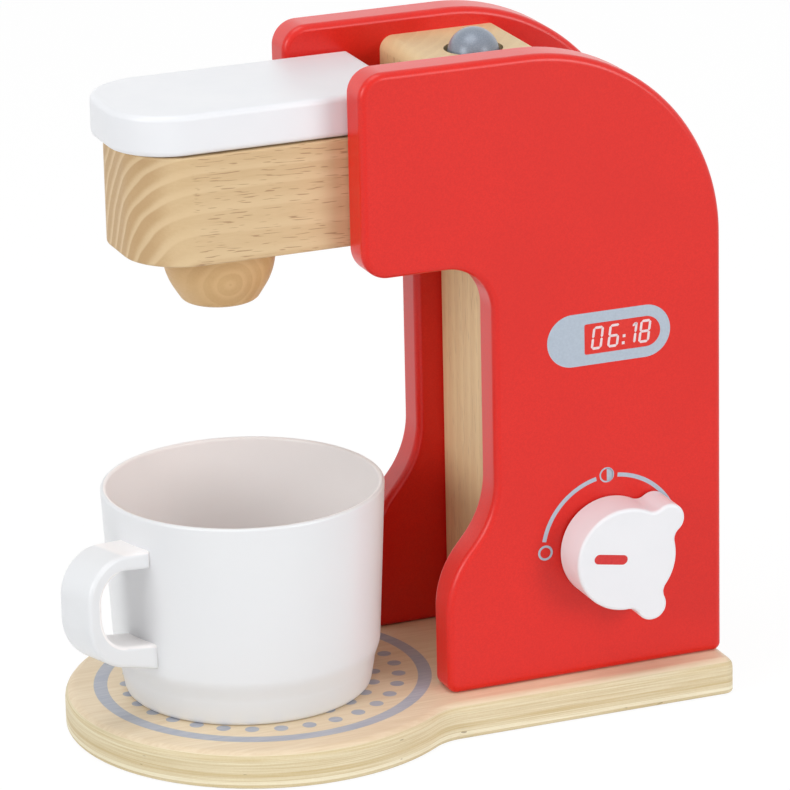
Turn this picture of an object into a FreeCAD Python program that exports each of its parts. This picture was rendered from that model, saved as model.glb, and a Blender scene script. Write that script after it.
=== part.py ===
import FreeCAD, Part
import math
import os
import re

import Sketcher

# Toy coffee maker in wood: a plywood base, two painted side panels that carry beech blocks between
# them, a hinged lid, a sprung push button, a turning knob and a loose cup.
# Millimetres. X is across the machine, the cup stands towards -Y, Z is up.
# The origin is the middle of the base's underside.

doc = FreeCAD.newDocument("toy_coffee_maker")

# Driving dimensions, one cell each
SIZES = {
    "base_length": 181.6,
    "base_thickness": 10.5,
    "base_disc_radius": 55.8,
    "base_strip_width": 82.8,
    "base_neck_radius": 14.0,
    "base_corner_radius": 3.0,
    "base_edge_radius": 3.0,
    "base_lower_edge_radius": 1.0,
    "machine_height": 190.0,
    "panel_gap": 46.0,
    "panel_thickness": 11.0,
    "panel_rear_inset": 0.9,
    "panel_head_depth": 105.5,
    "panel_foot_depth": 82.9,
    "panel_column_depth": 68.1,
    "panel_head_underside": 130.0,
    "panel_flare_low": 43.0,
    "panel_flare_high": 61.0,
    "panel_flare_radius": 27.0,
    "panel_crown_radius": 57.0,
    "panel_brow_radius": 7.0,
    "panel_chin_radius": 11.5,
    "panel_armpit_radius": 10.0,
    "panel_edge_radius": 2.0,
    "column_set_back": 7.5,
    "column_depth": 42.0,
    "column_edge_radius": 4.0,
    "head_underside": 140.0,
    "head_height": 31.0,
    "head_reach": 86.1,
    "head_nose_radius": 17.0,
    "head_edge_radius": 0.6,
    "head_rim_radius": 0.6,
    "pad_well_radius": 17.0,
    "pad_well_depth": 12.0,
    "button_block_depth": 34.3,
    "button_block_height": 44.5,
    "button_block_set_back": 28.3,
    "button_block_edge_radius": 4.0,
    "button_block_rear_radius": 1.5,
    "lid_thickness": 10.7,
    "lid_overhang": 3.6,
    "lid_tail_gap": 9.3,
    "lid_side_clearance": 0.5,
    "lid_nose_radius": 17.5,
    "lid_edge_radius": 1.8,
    "lid_tail_top_radius": 2.4,
    "lid_lift": 0.3,
    "hinge_rod_radius": 2.0,
    "hinge_rod_seat": 6.0,
    "nozzle_radius": 15.5,
    "nozzle_drop": 16.8,
    "nozzle_tip_radius": 9.9,
    "nozzle_shoulder": 7.6,
    "nozzle_dome_radius": 21.0,
    "nozzle_tip_round": 2.0,
    "nozzle_from_nose": 28.9,
    "nozzle_spigot_radius": 5.0,
    "nozzle_spigot_length": 9.0,
    "button_ball_radius": 7.2,
    "button_ball_sink": 1.4,
    "button_bore_radius": 8.2,
    "button_bore_depth": 22.0,
    "button_place": 18.5,
    "button_travel": 5.0,
    "button_stem_radius": 4.0,
    "button_stem_length": 28.0,
    "button_stem_peg": 6.0,
    "button_flange_radius": 6.6,
    "button_flange_thickness": 2.0,
    "cross_pin_radius": 1.5,
    "cross_pin_rise": 5.0,
    "spring_wire_radius": 0.4,
    "spring_coil_radius": 5.2,
    "spring_turns": 5.0,
    "spring_clearance": 0.1,
    "knob_radius": 14.8,
    "knob_thickness": 12.5,
    "knob_gap": 0.5,
    "knob_from_rear": 34.6,
    "knob_rise": 47.2,
    "knob_lobe_radius": 4.4,
    "knob_lobe_reach": 16.3,
    "knob_lobe_angle": 50.2,
    "knob_lobe_neck_radius": 3.5,
    "knob_edge_radius": 1.0,
    "knob_turn": 13.0,
    "knob_axle_radius": 4.0,
    "knob_axle_seat": 8.0,
    "knob_washer_radius": 6.5,
    "knob_washer_thickness": 1.0,
    "knob_screw_radius": 1.5,
    "knob_screw_length": 12.0,
    "knob_screw_head_radius": 3.0,
    "knob_screw_head_height": 2.4,
    "knob_pocket_radius": 7.5,
    "knob_pocket_depth": 2.0,
    "knob_screw_room": 3.5,
    "knob_end_play": 0.3,
    "cup_height": 58.9,
    "cup_rim_radius": 39.3,
    "cup_body_radius": 37.1,
    "cup_wall": 1.8,
    "cup_floor": 11.4,
    "cup_foot_radius": 33.9,
    "cup_foot_neck_radius": 36.3,
    "cup_foot_height": 10.9,
    "cup_foot_recess": 8.8,
    "cup_foot_ring": 3.0,
    "cup_inner_corner_radius": 6.0,
    "cup_rim_edge_radius": 0.6,
    "cup_from_disc": 4.8,
    "cup_turn": 19.0,
    "handle_width": 12.0,
    "handle_reach": 59.4,
    "handle_root_sink": 1.4,
    "handle_thickness": 4.6,
    "handle_top": 52.0,
    "handle_top_root": 50.0,
    "handle_top_root_depth": 5.3,
    "handle_foot": 22.0,
    "handle_foot_depth": 3.8,
    "handle_foot_root": 14.9,
    "handle_foot_root_depth": 7.5,
    "handle_upper_radius": 12.0,
    "handle_lower_radius": 15.0,
    "handle_edge_radius": 0.9,
    "dowel_radius": 3.0,
    "dowel_length": 20.0,
    "dowel_seat": 7.0,
    "dowel_edge_inset": 9.0,
    "screw_radius": 1.8,
    "screw_length": 26.0,
    "screw_inset": 16.5,
    "screw_head_radius": 3.8,
    "screw_head_height": 2.6,
    "screw_head_sink": 0.4,
    "running_clearance": 0.08,
    "glue_clearance": 0.05,
    "bore_end_clearance": 0.5,
}

sheet = doc.addObject("Spreadsheet::Sheet", "Sizes")
for row, (alias, number) in enumerate(SIZES.items(), start=1):
    sheet.set("A%d" % row, alias)
    sheet.set("B%d" % row, str(number))
    sheet.setAlias("B%d" % row, alias)
doc.recompute()


def cell(text):
    """Turn the aliases in a formula into references to the sheet."""
    return re.sub(r"[a-z_]+", lambda word: "Sizes." + word[0] if word[0] in SIZES else word[0], text)


def bind(thing, **formulas):
    """Bind properties of an object to formulas of the sheet."""
    for name, text in formulas.items():
        thing.setExpression(name, cell(text))


def place(thing, x="0", y="0", z="0", axis=None, angle="0"):
    """Put an object at formulas of the sheet, turned about an axis of its own."""
    if axis is not None:
        thing.Placement = FreeCAD.Placement(FreeCAD.Vector(0, 0, 0), FreeCAD.Rotation(axis, 90))
        thing.setExpression("Placement.Rotation.Angle", "(" + cell(angle) + ") * 1 deg")
    thing.setExpression("Placement.Base.x", cell(x))
    thing.setExpression("Placement.Base.y", cell(y))
    thing.setExpression("Placement.Base.z", cell(z))


X_AXIS = FreeCAD.Vector(1, 0, 0)
Y_AXIS = FreeCAD.Vector(0, 1, 0)
Z_AXIS = FreeCAD.Vector(0, 0, 1)


# Heights and places that several pieces share
PANEL_REAR = "(base_length / 2 - panel_rear_inset)"
DISC_Y = "(base_disc_radius - base_length / 2)"
COLUMN_FRONT = "(" + PANEL_REAR + " - panel_column_depth + column_set_back)"
BLOCK_FRONT = "(" + PANEL_REAR + " - panel_head_depth + button_block_set_back)"
BLOCK_TOP = "(head_underside + button_block_height)"
HEAD_FRONT = "(" + BLOCK_FRONT + " - head_reach)"
HEAD_TOP = "(head_underside + head_height)"
NOZZLE_Y = "(" + HEAD_FRONT + " + nozzle_from_nose)"
LID_TAIL = "(" + BLOCK_FRONT + " - lid_tail_gap)"
LID_UNDERSIDE = "(" + HEAD_TOP + " + lid_lift)"
LID_TAIL_RADIUS = "(lid_thickness / 2)"
PIVOT_Y = "(" + LID_TAIL + " - " + LID_TAIL_RADIUS + ")"
PIVOT_Z = "(" + LID_UNDERSIDE + " + " + LID_TAIL_RADIUS + ")"
BUTTON_Y = "(" + BLOCK_FRONT + " + button_place)"
BALL_Z = "(" + BLOCK_TOP + " - button_ball_sink)"
BORE_FLOOR = "(" + BLOCK_TOP + " - button_bore_depth)"
KNOB_Y = "(" + PANEL_REAR + " - knob_from_rear)"
PANEL_OUTSIDE = "(panel_gap / 2 + panel_thickness)"
CUP_Y = "(" + DISC_Y + " - cup_from_disc)"
FLANGE_TOP = "(" + BALL_Z + " - sqrt(button_ball_radius ^ 2 - button_stem_radius ^ 2))"
FLANGE_UNDERSIDE = "(" + FLANGE_TOP + " - button_flange_thickness)"
STEM_END = "(" + FLANGE_UNDERSIDE + " - button_stem_length + button_flange_thickness)"
PIN_Z = "(" + STEM_END + " + cross_pin_rise)"
PIN_LENGTH = "(panel_gap - 2 * bore_end_clearance)"
STEM_FLOOR = "(" + STEM_END + " - button_travel - bore_end_clearance)"
HEAD_DOWEL_DEPTH = "(dowel_length / 2 + bore_end_clearance)"
SCREW_X = "(panel_gap + panel_thickness) / 2"
SCREW_DEPTH = "(screw_length - base_thickness + screw_head_sink + bore_end_clearance)"
AXLE_END = "(panel_gap / 2 - knob_end_play)"
AXLE_LENGTH = "(panel_thickness + knob_end_play + knob_gap + knob_axle_seat)"


def new_body(label):
    body = doc.addObject("PartDesign::Body", label)
    body.Label = label
    return body


def plane(body, role):
    return next(item for item in body.Origin.OriginFeatures if item.Role == role)


def new_sketch(body, role, name):
    sketch = body.newObject("Sketcher::SketchObject", name)
    sketch.AttachmentSupport = (plane(body, role), [""])
    sketch.MapMode = "FlatFace"
    return sketch


def pin_point(sketch, geometry, point, x, y):
    """Fix a point of a sketch at two formulas of the sheet."""
    for kind, text in (("DistanceX", x), ("DistanceY", y)):
        index = sketch.addConstraint(Sketcher.Constraint(kind, geometry, point, 1.0))
        sketch.setExpression("Constraints[%d]" % index, cell(text))


def polygon(sketch, corners):
    """A closed outline through corners that are given as formulas of the sheet."""
    count = len(corners)
    turn = 2 * math.pi / count
    start = [FreeCAD.Vector(math.cos(turn * i), math.sin(turn * i), 0) for i in range(count)]
    first = sketch.GeometryCount
    for i in range(count):
        sketch.addGeometry(Part.LineSegment(start[i], start[(i + 1) % count]), False)
    for i in range(count):
        sketch.addConstraint(Sketcher.Constraint("Coincident", first + i, 2, first + (i + 1) % count, 1))
    for i, (x, y) in enumerate(corners):
        pin_point(sketch, first + i, 1, x, y)


def circle(sketch, x, y, radius):
    index = sketch.addGeometry(Part.Circle(FreeCAD.Vector(0, 0, 0), Z_AXIS, 1.0), False)
    pin_point(sketch, index, 3, x, y)
    size = sketch.addConstraint(Sketcher.Constraint("Radius", index, 1.0))
    sketch.setExpression("Constraints[%d]" % size, cell(radius))


def pad(body, sketch, length, middle=False, name="Pad"):
    feature = body.newObject("PartDesign::Pad", name)
    feature.Profile = sketch
    feature.Midplane = middle
    bind(feature, Length=length)
    return feature


def revolve(body, sketch, name="Revolution"):
    feature = body.newObject("PartDesign::Revolution", name)
    feature.Profile = sketch
    feature.ReferenceAxis = (sketch, ["V_Axis"])
    feature.Angle = 360
    return feature


def fillet(body, radius, chosen, name="Fillet"):
    """Round the edges of the body so far that the test picks out."""
    doc.recompute()
    last = body.Tip
    names = ["Edge%d" % (i + 1) for i, edge in enumerate(last.Shape.Edges) if chosen(edge)]
    feature = body.newObject("PartDesign::Fillet", name)
    feature.Base = (last, names)
    bind(feature, Radius=radius)
    doc.recompute()
    return feature


def bore(body, radius, height, x, y, z, axis=None, angle="90", name="Bore"):
    """Cut a round hole that starts at a point and runs along the turned Z axis."""
    feature = body.newObject("PartDesign::SubtractiveCylinder", name)
    bind(feature, Radius=radius, Height=height)
    place(feature, x, y, z, axis, angle)
    doc.recompute()
    return feature


def value(alias):
    return SIZES[alias]


def middle_of(edge):
    return edge.valueAt((edge.FirstParameter + edge.LastParameter) / 2)


def runs_along(edge, axis):
    """True for a straight edge that is parallel to an axis."""
    if not isinstance(edge.Curve, Part.Line):
        return False
    ends = [vertex.Point for vertex in edge.Vertexes]
    run = ends[1] - ends[0]
    return abs(abs(run.dot(axis)) - run.Length) < 1e-6


# Two lengths closer than this are taken as equal when edges are picked
SLACK = 0.01


def level(edge, component, place_value):
    """True for an edge that lies wholly at one value of x, y or z."""
    points = [edge.valueAt(edge.FirstParameter), middle_of(edge), edge.valueAt(edge.LastParameter)]
    return all(abs(point[component] - place_value) < SLACK for point in points)


# Screws up through the base, two into the foot of each panel, as (side, y)
def screw_places():
    for side in (-1, 1):
        yield side, "(" + PANEL_REAR + " - screw_inset)"
        yield side, "(" + PANEL_REAR + " - panel_foot_depth + screw_inset)"


# Dowels that hold each block between the panels, as (y, z) on a panel's inner face
def dowel_places():
    column_front = "(" + COLUMN_FRONT + " + dowel_edge_inset)"
    column_rear = "(" + COLUMN_FRONT + " + column_depth - dowel_edge_inset)"
    column_low = "(base_thickness + 2 * dowel_edge_inset)"
    column_high = "(head_underside - 2 * dowel_edge_inset)"
    return [
        (column_front, column_low),
        (column_front, column_high),
        (column_rear, column_high),
        ("(" + BLOCK_FRONT + " - dowel_edge_inset)", "(head_underside + dowel_edge_inset)"),
        ("(" + BLOCK_FRONT + " + button_block_depth - dowel_edge_inset / 2)",
         "(head_underside + head_height / 2)"),
    ]


# Base: a round tray that carries the ring, and a narrower strip under the panels
def make_base():
    body = new_body("base")
    tray = new_sketch(body, "XY_Plane", "TrayOutline")
    circle(tray, "0", DISC_Y, "base_disc_radius")
    pad(body, tray, "base_thickness", name="Tray")
    strip = new_sketch(body, "XY_Plane", "StripOutline")
    half = "base_strip_width / 2"
    rear_edge = "base_length / 2"
    polygon(strip, [("-" + half, DISC_Y), (half, DISC_Y), (half, rear_edge), ("-" + half, rear_edge)])
    pad(body, strip, "base_thickness", name="Strip")
    rear = value("base_length") / 2
    top = value("base_thickness")
    disc_y = value("base_disc_radius") - rear
    fillet(body, "base_neck_radius",
           lambda edge: runs_along(edge, Z_AXIS) and disc_y + 1 < middle_of(edge).y < rear - 1, "Neck")
    fillet(body, "base_corner_radius",
           lambda edge: runs_along(edge, Z_AXIS) and middle_of(edge).y > rear - 1, "RearCorners")
    fillet(body, "base_edge_radius", lambda edge: level(edge, 2, top), "UpperEdge")
    fillet(body, "base_lower_edge_radius", lambda edge: level(edge, 2, 0), "LowerEdge")
    for side, y in screw_places():
        x = "%d * %s" % (side, SCREW_X)
        bore(body, "screw_radius + glue_clearance", "base_thickness", x, y, "0", name="ScrewHole")
        bore(body, "screw_head_radius + glue_clearance", "screw_head_sink", x, y, "0", name="HeadRecess")
        sink = body.newObject("PartDesign::SubtractiveCone", "Countersink")
        bind(sink, Radius1="screw_head_radius + glue_clearance", Radius2="screw_radius + glue_clearance",
             Height="screw_head_height")
        place(sink, x, y, "screw_head_sink")
    return body


# Side panels: one outline, with a hooked head over the cup and a flared foot
def make_panel(label, side):
    body = new_body(label)
    outline = new_sketch(body, "YZ_Plane", "Outline")
    head_y = "(" + PANEL_REAR + " - panel_head_depth)"
    foot_y = "(" + PANEL_REAR + " - panel_foot_depth)"
    column_y = "(" + PANEL_REAR + " - panel_column_depth)"
    polygon(outline, [
        (PANEL_REAR, "base_thickness"),
        (foot_y, "base_thickness"),
        (foot_y, "panel_flare_low"),
        (column_y, "panel_flare_high"),
        (column_y, "panel_head_underside"),
        (head_y, "panel_head_underside"),
        (head_y, "machine_height"),
        (PANEL_REAR, "machine_height"),
    ])
    pad(body, outline, "panel_thickness", name="Board")
    bottom, top = value("base_thickness"), value("machine_height")
    rear = value("base_length") / 2 - value("panel_rear_inset")
    front = rear - value("panel_head_depth")
    column = rear - value("panel_column_depth")
    underside = value("panel_head_underside")
    thickness = value("panel_thickness")

    def corner(y, z):
        return lambda edge: (runs_along(edge, X_AXIS) and abs(middle_of(edge).y - y) < SLACK
                             and abs(middle_of(edge).z - z) < SLACK)

    def flare(edge):
        return (runs_along(edge, X_AXIS) and bottom + 1 < middle_of(edge).z < underside - 1
                and middle_of(edge).y < rear - 1)

    fillet(body, "panel_crown_radius", corner(rear, top), "Crown")
    fillet(body, "panel_brow_radius", corner(front, top), "Brow")
    fillet(body, "panel_chin_radius", corner(front, underside), "Chin")
    fillet(body, "panel_armpit_radius", corner(column, underside), "Armpit")
    fillet(body, "panel_flare_radius", flare, "Flare")
    fillet(body, "panel_edge_radius",
           lambda edge: (level(edge, 0, 0) or level(edge, 0, thickness)) and not level(edge, 2, bottom),
           "EdgeRounds")

    def inner_hole(radius, depth, y, z, name):
        start = "0" if side > 0 else "panel_thickness - (" + depth + ")"
        bore(body, radius, depth, start, y, z, Y_AXIS, name=name)

    for y, z in dowel_places():
        inner_hole("dowel_radius + glue_clearance", "dowel_seat + bore_end_clearance", y, z, "DowelHole")
    inner_hole("hinge_rod_radius + glue_clearance", "hinge_rod_seat + bore_end_clearance", PIVOT_Y, PIVOT_Z,
               "HingeHole")
    for screw_side, y in screw_places():
        if screw_side == side:
            bore(body, "screw_radius + glue_clearance", SCREW_DEPTH, "panel_thickness / 2", y,
                 "base_thickness", name="ScrewHole")
    if side > 0:
        bore(body, "knob_axle_radius + running_clearance", "panel_thickness", "0", KNOB_Y,
             "knob_rise", Y_AXIS, name="AxleBore")
    place(body, "panel_gap / 2" if side > 0 else "-panel_gap / 2 - panel_thickness")
    return body


def block_dowel_holes(body, places):
    """Blind holes from both sides of a block for the dowels that come out of the panels."""
    depth = "(dowel_length - dowel_seat + bore_end_clearance)"
    for y, z in places:
        for start in ("-panel_gap / 2", "panel_gap / 2 - " + depth):
            bore(body, "dowel_radius + glue_clearance", depth, start, y, z, Y_AXIS, name="DowelHole")


# Column: an upright beech block behind the cup, with the knob's pocket in its right side
def make_column_block():
    body = new_body("column_block")
    outline = new_sketch(body, "XY_Plane", "Outline")
    rear_y = "(" + COLUMN_FRONT + " + column_depth)"
    polygon(outline, [
        ("-panel_gap / 2", COLUMN_FRONT),
        ("panel_gap / 2", COLUMN_FRONT),
        ("panel_gap / 2", rear_y),
        ("-panel_gap / 2", rear_y),
    ])
    outline.setExpression("AttachmentOffset.Base.z", cell("base_thickness"))
    pad(body, outline, "head_underside - base_thickness", name="Upright")
    fillet(body, "column_edge_radius", lambda edge: runs_along(edge, Z_AXIS), "UprightEdges")
    block_dowel_holes(body, dowel_places()[:3])
    bore(body, "knob_pocket_radius", "knob_pocket_depth", "panel_gap / 2 - knob_pocket_depth", KNOB_Y,
         "knob_rise", Y_AXIS, name="WasherPocket")
    bore(body, "knob_screw_head_radius + bore_end_clearance", "knob_screw_room",
         "panel_gap / 2 - knob_pocket_depth - knob_screw_room", KNOB_Y, "knob_rise", Y_AXIS, name="ScrewRoom")
    return body


# Button block: a beech block on top of the column, bored from above for the plunger
def make_button_block():
    body = new_body("button_block")
    outline = new_sketch(body, "YZ_Plane", "Outline")
    rear_y = "(" + BLOCK_FRONT + " + button_block_depth)"
    polygon(outline, [
        (BLOCK_FRONT, "head_underside"),
        (rear_y, "head_underside"),
        (rear_y, BLOCK_TOP),
        (BLOCK_FRONT, BLOCK_TOP),
    ])
    pad(body, outline, "panel_gap", middle=True, name="Block")
    top = value("head_underside") + value("button_block_height")
    front = (value("base_length") / 2 - value("panel_rear_inset") - value("panel_head_depth")
             + value("button_block_set_back"))

    def top_edge(edge):
        return runs_along(edge, X_AXIS) and abs(middle_of(edge).z - top) < SLACK

    fillet(body, "button_block_rear_radius", lambda edge: top_edge(edge) and middle_of(edge).y > front + 1,
           "RearRound")
    fillet(body, "button_block_edge_radius", lambda edge: top_edge(edge) and middle_of(edge).y < front + 1,
           "FrontRound")
    bore(body, "button_bore_radius", "button_bore_depth", "0", BUTTON_Y, BORE_FLOOR, name="HeadBore")
    bore(body, "button_stem_radius + running_clearance", BORE_FLOOR + " - " + STEM_FLOOR, "0", BUTTON_Y,
         STEM_FLOOR, name="StemBore")
    bore(body, "cross_pin_radius + glue_clearance", "panel_gap", "-panel_gap / 2", BUTTON_Y, PIN_Z, Y_AXIS,
         name="PinBore")
    block_dowel_holes(body, dowel_places()[4:])
    for x, z in head_dowel_places():
        bore(body, "dowel_radius + glue_clearance", HEAD_DOWEL_DEPTH, x, BLOCK_FRONT, z, X_AXIS, "-90",
             name="HeadDowelHole")
    return body


def head_dowel_places():
    """Two dowels along Y that join the head block to the button block, as (x, z)."""
    return [(side + "panel_gap / 3", "(" + HEAD_TOP + " - dowel_edge_inset)") for side in ("-", "")]


# Head block: beech, round-nosed in plan, with a pad well under the lid and a socket for the nozzle
def make_head_block():
    body = new_body("head_block")
    outline = new_sketch(body, "XY_Plane", "Outline")
    polygon(outline, [
        ("-panel_gap / 2", HEAD_FRONT),
        ("panel_gap / 2", HEAD_FRONT),
        ("panel_gap / 2", BLOCK_FRONT),
        ("-panel_gap / 2", BLOCK_FRONT),
    ])
    outline.setExpression("AttachmentOffset.Base.z", cell("head_underside"))
    pad(body, outline, "head_height", name="Block")
    rear = (value("base_length") / 2 - value("panel_rear_inset") - value("panel_head_depth")
            + value("button_block_set_back"))
    bottom = value("head_underside")
    top = bottom + value("head_height")

    def front_corner(edge):
        return runs_along(edge, Z_AXIS) and middle_of(edge).y < rear - 1

    def rim(z):
        return lambda edge: level(edge, 2, z) and not level(edge, 1, rear)

    fillet(body, "head_nose_radius", front_corner, "Nose")
    fillet(body, "head_edge_radius", rim(bottom), "LowerRound")
    fillet(body, "head_rim_radius", rim(top), "UpperRound")
    bore(body, "pad_well_radius", "pad_well_depth", "0", NOZZLE_Y, HEAD_TOP + " - pad_well_depth",
         name="PadWell")
    bore(body, "nozzle_spigot_radius + glue_clearance", "nozzle_spigot_length + bore_end_clearance", "0",
         NOZZLE_Y, "head_underside", name="NozzleSocket")
    block_dowel_holes(body, dowel_places()[3:4])
    for x, z in head_dowel_places():
        bore(body, "dowel_radius + glue_clearance", HEAD_DOWEL_DEPTH, x,
             BLOCK_FRONT + " - " + HEAD_DOWEL_DEPTH, z, X_AXIS, "-90", name="HeadDowelHole")
    return body


# Lid: a painted board with a round nose, rounded round its hinge at the tail
def make_lid():
    body = new_body("lid")
    side = new_sketch(body, "YZ_Plane", "SideOutline")
    front_y = "(" + HEAD_FRONT + " - lid_overhang)"
    lid_top = "(" + LID_UNDERSIDE + " + lid_thickness)"
    polygon(side, [
        (front_y, LID_UNDERSIDE),
        (LID_TAIL, LID_UNDERSIDE),
        (LID_TAIL, lid_top),
        (front_y, lid_top),
    ])
    pad(body, side, "panel_gap - 2 * lid_side_clearance", middle=True, name="Board")
    tail = (value("base_length") / 2 - value("panel_rear_inset") - value("panel_head_depth")
            + value("button_block_set_back") - value("lid_tail_gap"))
    underside = value("head_underside") + value("head_height") + value("lid_lift")
    top = underside + value("lid_thickness")
    nose_side = tail - value("lid_nose_radius")

    def tail_edge(z):
        return lambda edge: (runs_along(edge, X_AXIS) and abs(middle_of(edge).z - z) < SLACK
                             and abs(middle_of(edge).y - tail) < SLACK)

    half = value("panel_gap") / 2 - value("lid_side_clearance")

    def front_corner(edge):
        return runs_along(edge, Z_AXIS) and middle_of(edge).y < nose_side

    def side_rim(edge):
        return level(edge, 0, half) or level(edge, 0, -half)

    def nose_rim(edge):
        return (level(edge, 2, underside) or level(edge, 2, top)) and middle_of(edge).y < nose_side

    fillet(body, LID_TAIL_RADIUS, tail_edge(underside), "TailRound")
    fillet(body, "lid_tail_top_radius", tail_edge(top), "TailTopRound")
    fillet(body, "lid_nose_radius", front_corner, "Nose")
    fillet(body, "lid_edge_radius", lambda edge: side_rim(edge) or nose_rim(edge), "EdgeRounds")
    bore(body, "hinge_rod_radius + running_clearance", "panel_gap", "-panel_gap / 2", PIVOT_Y, PIVOT_Z,
         Y_AXIS, name="HingeBore")
    return body


def make_lid_hinge_rod():
    rod = doc.addObject("Part::Cylinder", "lid_hinge_rod")
    bind(rod, Radius="hinge_rod_radius", Height="panel_gap + 2 * hinge_rod_seat")
    place(rod, "-panel_gap / 2 - hinge_rod_seat", PIVOT_Y, PIVOT_Z, Y_AXIS, "90")
    return rod


def turned(label, sketch_corners, rounds=()):
    """A turned piece: its half outline in the XZ plane, spun about its own Z axis."""
    body = new_body(label)
    outline = new_sketch(body, "XZ_Plane", "HalfOutline")
    polygon(outline, sketch_corners)
    revolve(body, outline)
    for radius, corner_radius, corner_z, name in rounds:
        fillet(body, radius, ring_edge(corner_radius, corner_z), name)
    return body


def ring_edge(radius, z):
    """Pick out the circle of a turned piece that has a given radius and height."""
    def chosen(edge):
        return (isinstance(edge.Curve, Part.Circle) and abs(edge.Curve.Radius - radius) < SLACK
                and level(edge, 2, z))
    return chosen


# Nozzle: a turned, flat-tipped dome under the head, with a spigot glued into the head
def make_nozzle():
    body = turned("nozzle", [
        ("0", "-nozzle_drop"),
        ("nozzle_tip_radius", "-nozzle_drop"),
        ("nozzle_radius", "-nozzle_shoulder"),
        ("nozzle_radius", "0"),
        ("nozzle_spigot_radius", "0"),
        ("nozzle_spigot_radius", "nozzle_spigot_length"),
        ("0", "nozzle_spigot_length"),
    ], [
        ("nozzle_dome_radius", value("nozzle_radius"), -value("nozzle_shoulder"), "Dome"),
        ("nozzle_tip_round", value("nozzle_tip_radius"), -value("nozzle_drop"), "TipRound"),
    ])
    place(body, "0", NOZZLE_Y, "head_underside")
    return body


# Button: a ball glued on a turned stem, whose flange sits on the spring
def make_button_ball():
    ball = doc.addObject("Part::Sphere", "Ball")
    bind(ball, Radius="button_ball_radius")
    place(ball, "0", BUTTON_Y, BALL_Z)
    cut = doc.addObject("Part::Cylinder", "PegHole")
    bind(cut, Radius="button_stem_radius + glue_clearance",
         Height="button_ball_radius + button_stem_peg - sqrt(button_ball_radius ^ 2 - button_stem_radius ^ 2)"
                " + bore_end_clearance")
    place(cut, "0", BUTTON_Y, BALL_Z + " - button_ball_radius")
    flat = doc.addObject("Part::Cylinder", "Flat")
    bind(flat, Radius="button_ball_radius", Height="button_ball_radius")
    place(flat, "0", BUTTON_Y, FLANGE_TOP + " - button_ball_radius")
    cuts = doc.addObject("Part::MultiFuse", "BallCuts")
    cuts.Shapes = [cut, flat]
    body = doc.addObject("Part::Cut", "button_ball")
    body.Base = ball
    body.Tool = cuts
    return body


def make_button_stem():
    length = "(button_stem_length - button_flange_thickness)"
    body = turned("button_stem", [
        ("0", "-" + length),
        ("button_stem_radius", "-" + length),
        ("button_stem_radius", "0"),
        ("button_flange_radius", "0"),
        ("button_flange_radius", "button_flange_thickness"),
        ("button_stem_radius", "button_flange_thickness"),
        ("button_stem_radius", "button_flange_thickness + button_stem_peg"),
        ("0", "button_flange_thickness + button_stem_peg"),
    ])
    slot = new_sketch(body, "YZ_Plane", "SlotOutline")
    half = "(cross_pin_radius + running_clearance)"
    low = "(cross_pin_rise - " + length + ")"
    high = "(" + low + " + button_travel + bore_end_clearance)"
    polygon(slot, [("-" + half, low), (half, low), (half, high), ("-" + half, high)])
    cut = body.newObject("PartDesign::Pocket", "PinSlot")
    cut.Profile = slot
    cut.Midplane = True
    bind(cut, Length="4 * button_stem_radius")
    for z in (low, high):
        bore(body, half, "4 * button_stem_radius", "-2 * button_stem_radius", "0", z, Y_AXIS, name="SlotEnd")
    place(body, "0", BUTTON_Y, FLANGE_UNDERSIDE)
    return body


def make_button_cross_pin():
    rod = doc.addObject("Part::Cylinder", "button_cross_pin")
    bind(rod, Radius="cross_pin_radius", Height=PIN_LENGTH)
    place(rod, "-" + PIN_LENGTH + " / 2", BUTTON_Y, PIN_Z, Y_AXIS, "90")
    return rod


# Spring: one wire wound as a helix between the bore's floor and the stem's flange
def make_button_spring():
    room = "(" + FLANGE_UNDERSIDE + " - " + BORE_FLOOR + ")"
    helix = doc.addObject("Part::Helix", "SpringPath")
    bind(helix, Radius="spring_coil_radius",
         Height=room + " - 2 * spring_wire_radius - 4 * spring_clearance",
         Pitch="(" + room + " - 2 * spring_wire_radius - 4 * spring_clearance) / spring_turns")
    wire = doc.addObject("Part::Circle", "SpringWire")
    bind(wire, Radius="spring_wire_radius")
    place(wire, "spring_coil_radius", "0", "0", X_AXIS, "90")
    body = doc.addObject("Part::Sweep", "button_spring")
    body.Sections = [wire]
    body.Spine = helix
    body.Solid = True
    body.Frenet = True
    place(body, "0", BUTTON_Y, BORE_FLOOR + " + spring_wire_radius + 2 * spring_clearance")
    return body


# Knob: a thick disc with two small grip lobes, on a dowel axle held by a washer and a screw
def make_knob():
    body = new_body("knob")
    disc = new_sketch(body, "YZ_Plane", "Disc")
    circle(disc, "0", "0", "knob_radius")
    pad(body, disc, "knob_thickness", name="Disc")
    for name, sign in (("UpperLobe", 1), ("LowerLobe", -1)):
        lobe = new_sketch(body, "YZ_Plane", name + "Outline")
        circle(lobe, "knob_lobe_reach * cos(knob_lobe_angle * 1 deg)",
               "%d * knob_lobe_reach * sin(knob_lobe_angle * 1 deg)" % sign, "knob_lobe_radius")
        pad(body, lobe, "knob_thickness", name=name)
    face = value("knob_thickness")
    fillet(body, "knob_lobe_neck_radius", is_neck, "LobeNecks")
    fillet(body, "knob_edge_radius", lambda edge: level(edge, 0, face), "FaceRound")
    bore(body, "knob_axle_radius + glue_clearance", "knob_axle_seat + bore_end_clearance", "0", "0", "0",
         Y_AXIS, name="AxleSeat")
    place(body, PANEL_OUTSIDE + " + knob_gap", KNOB_Y, "knob_rise", X_AXIS, "-knob_turn")
    return body


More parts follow.
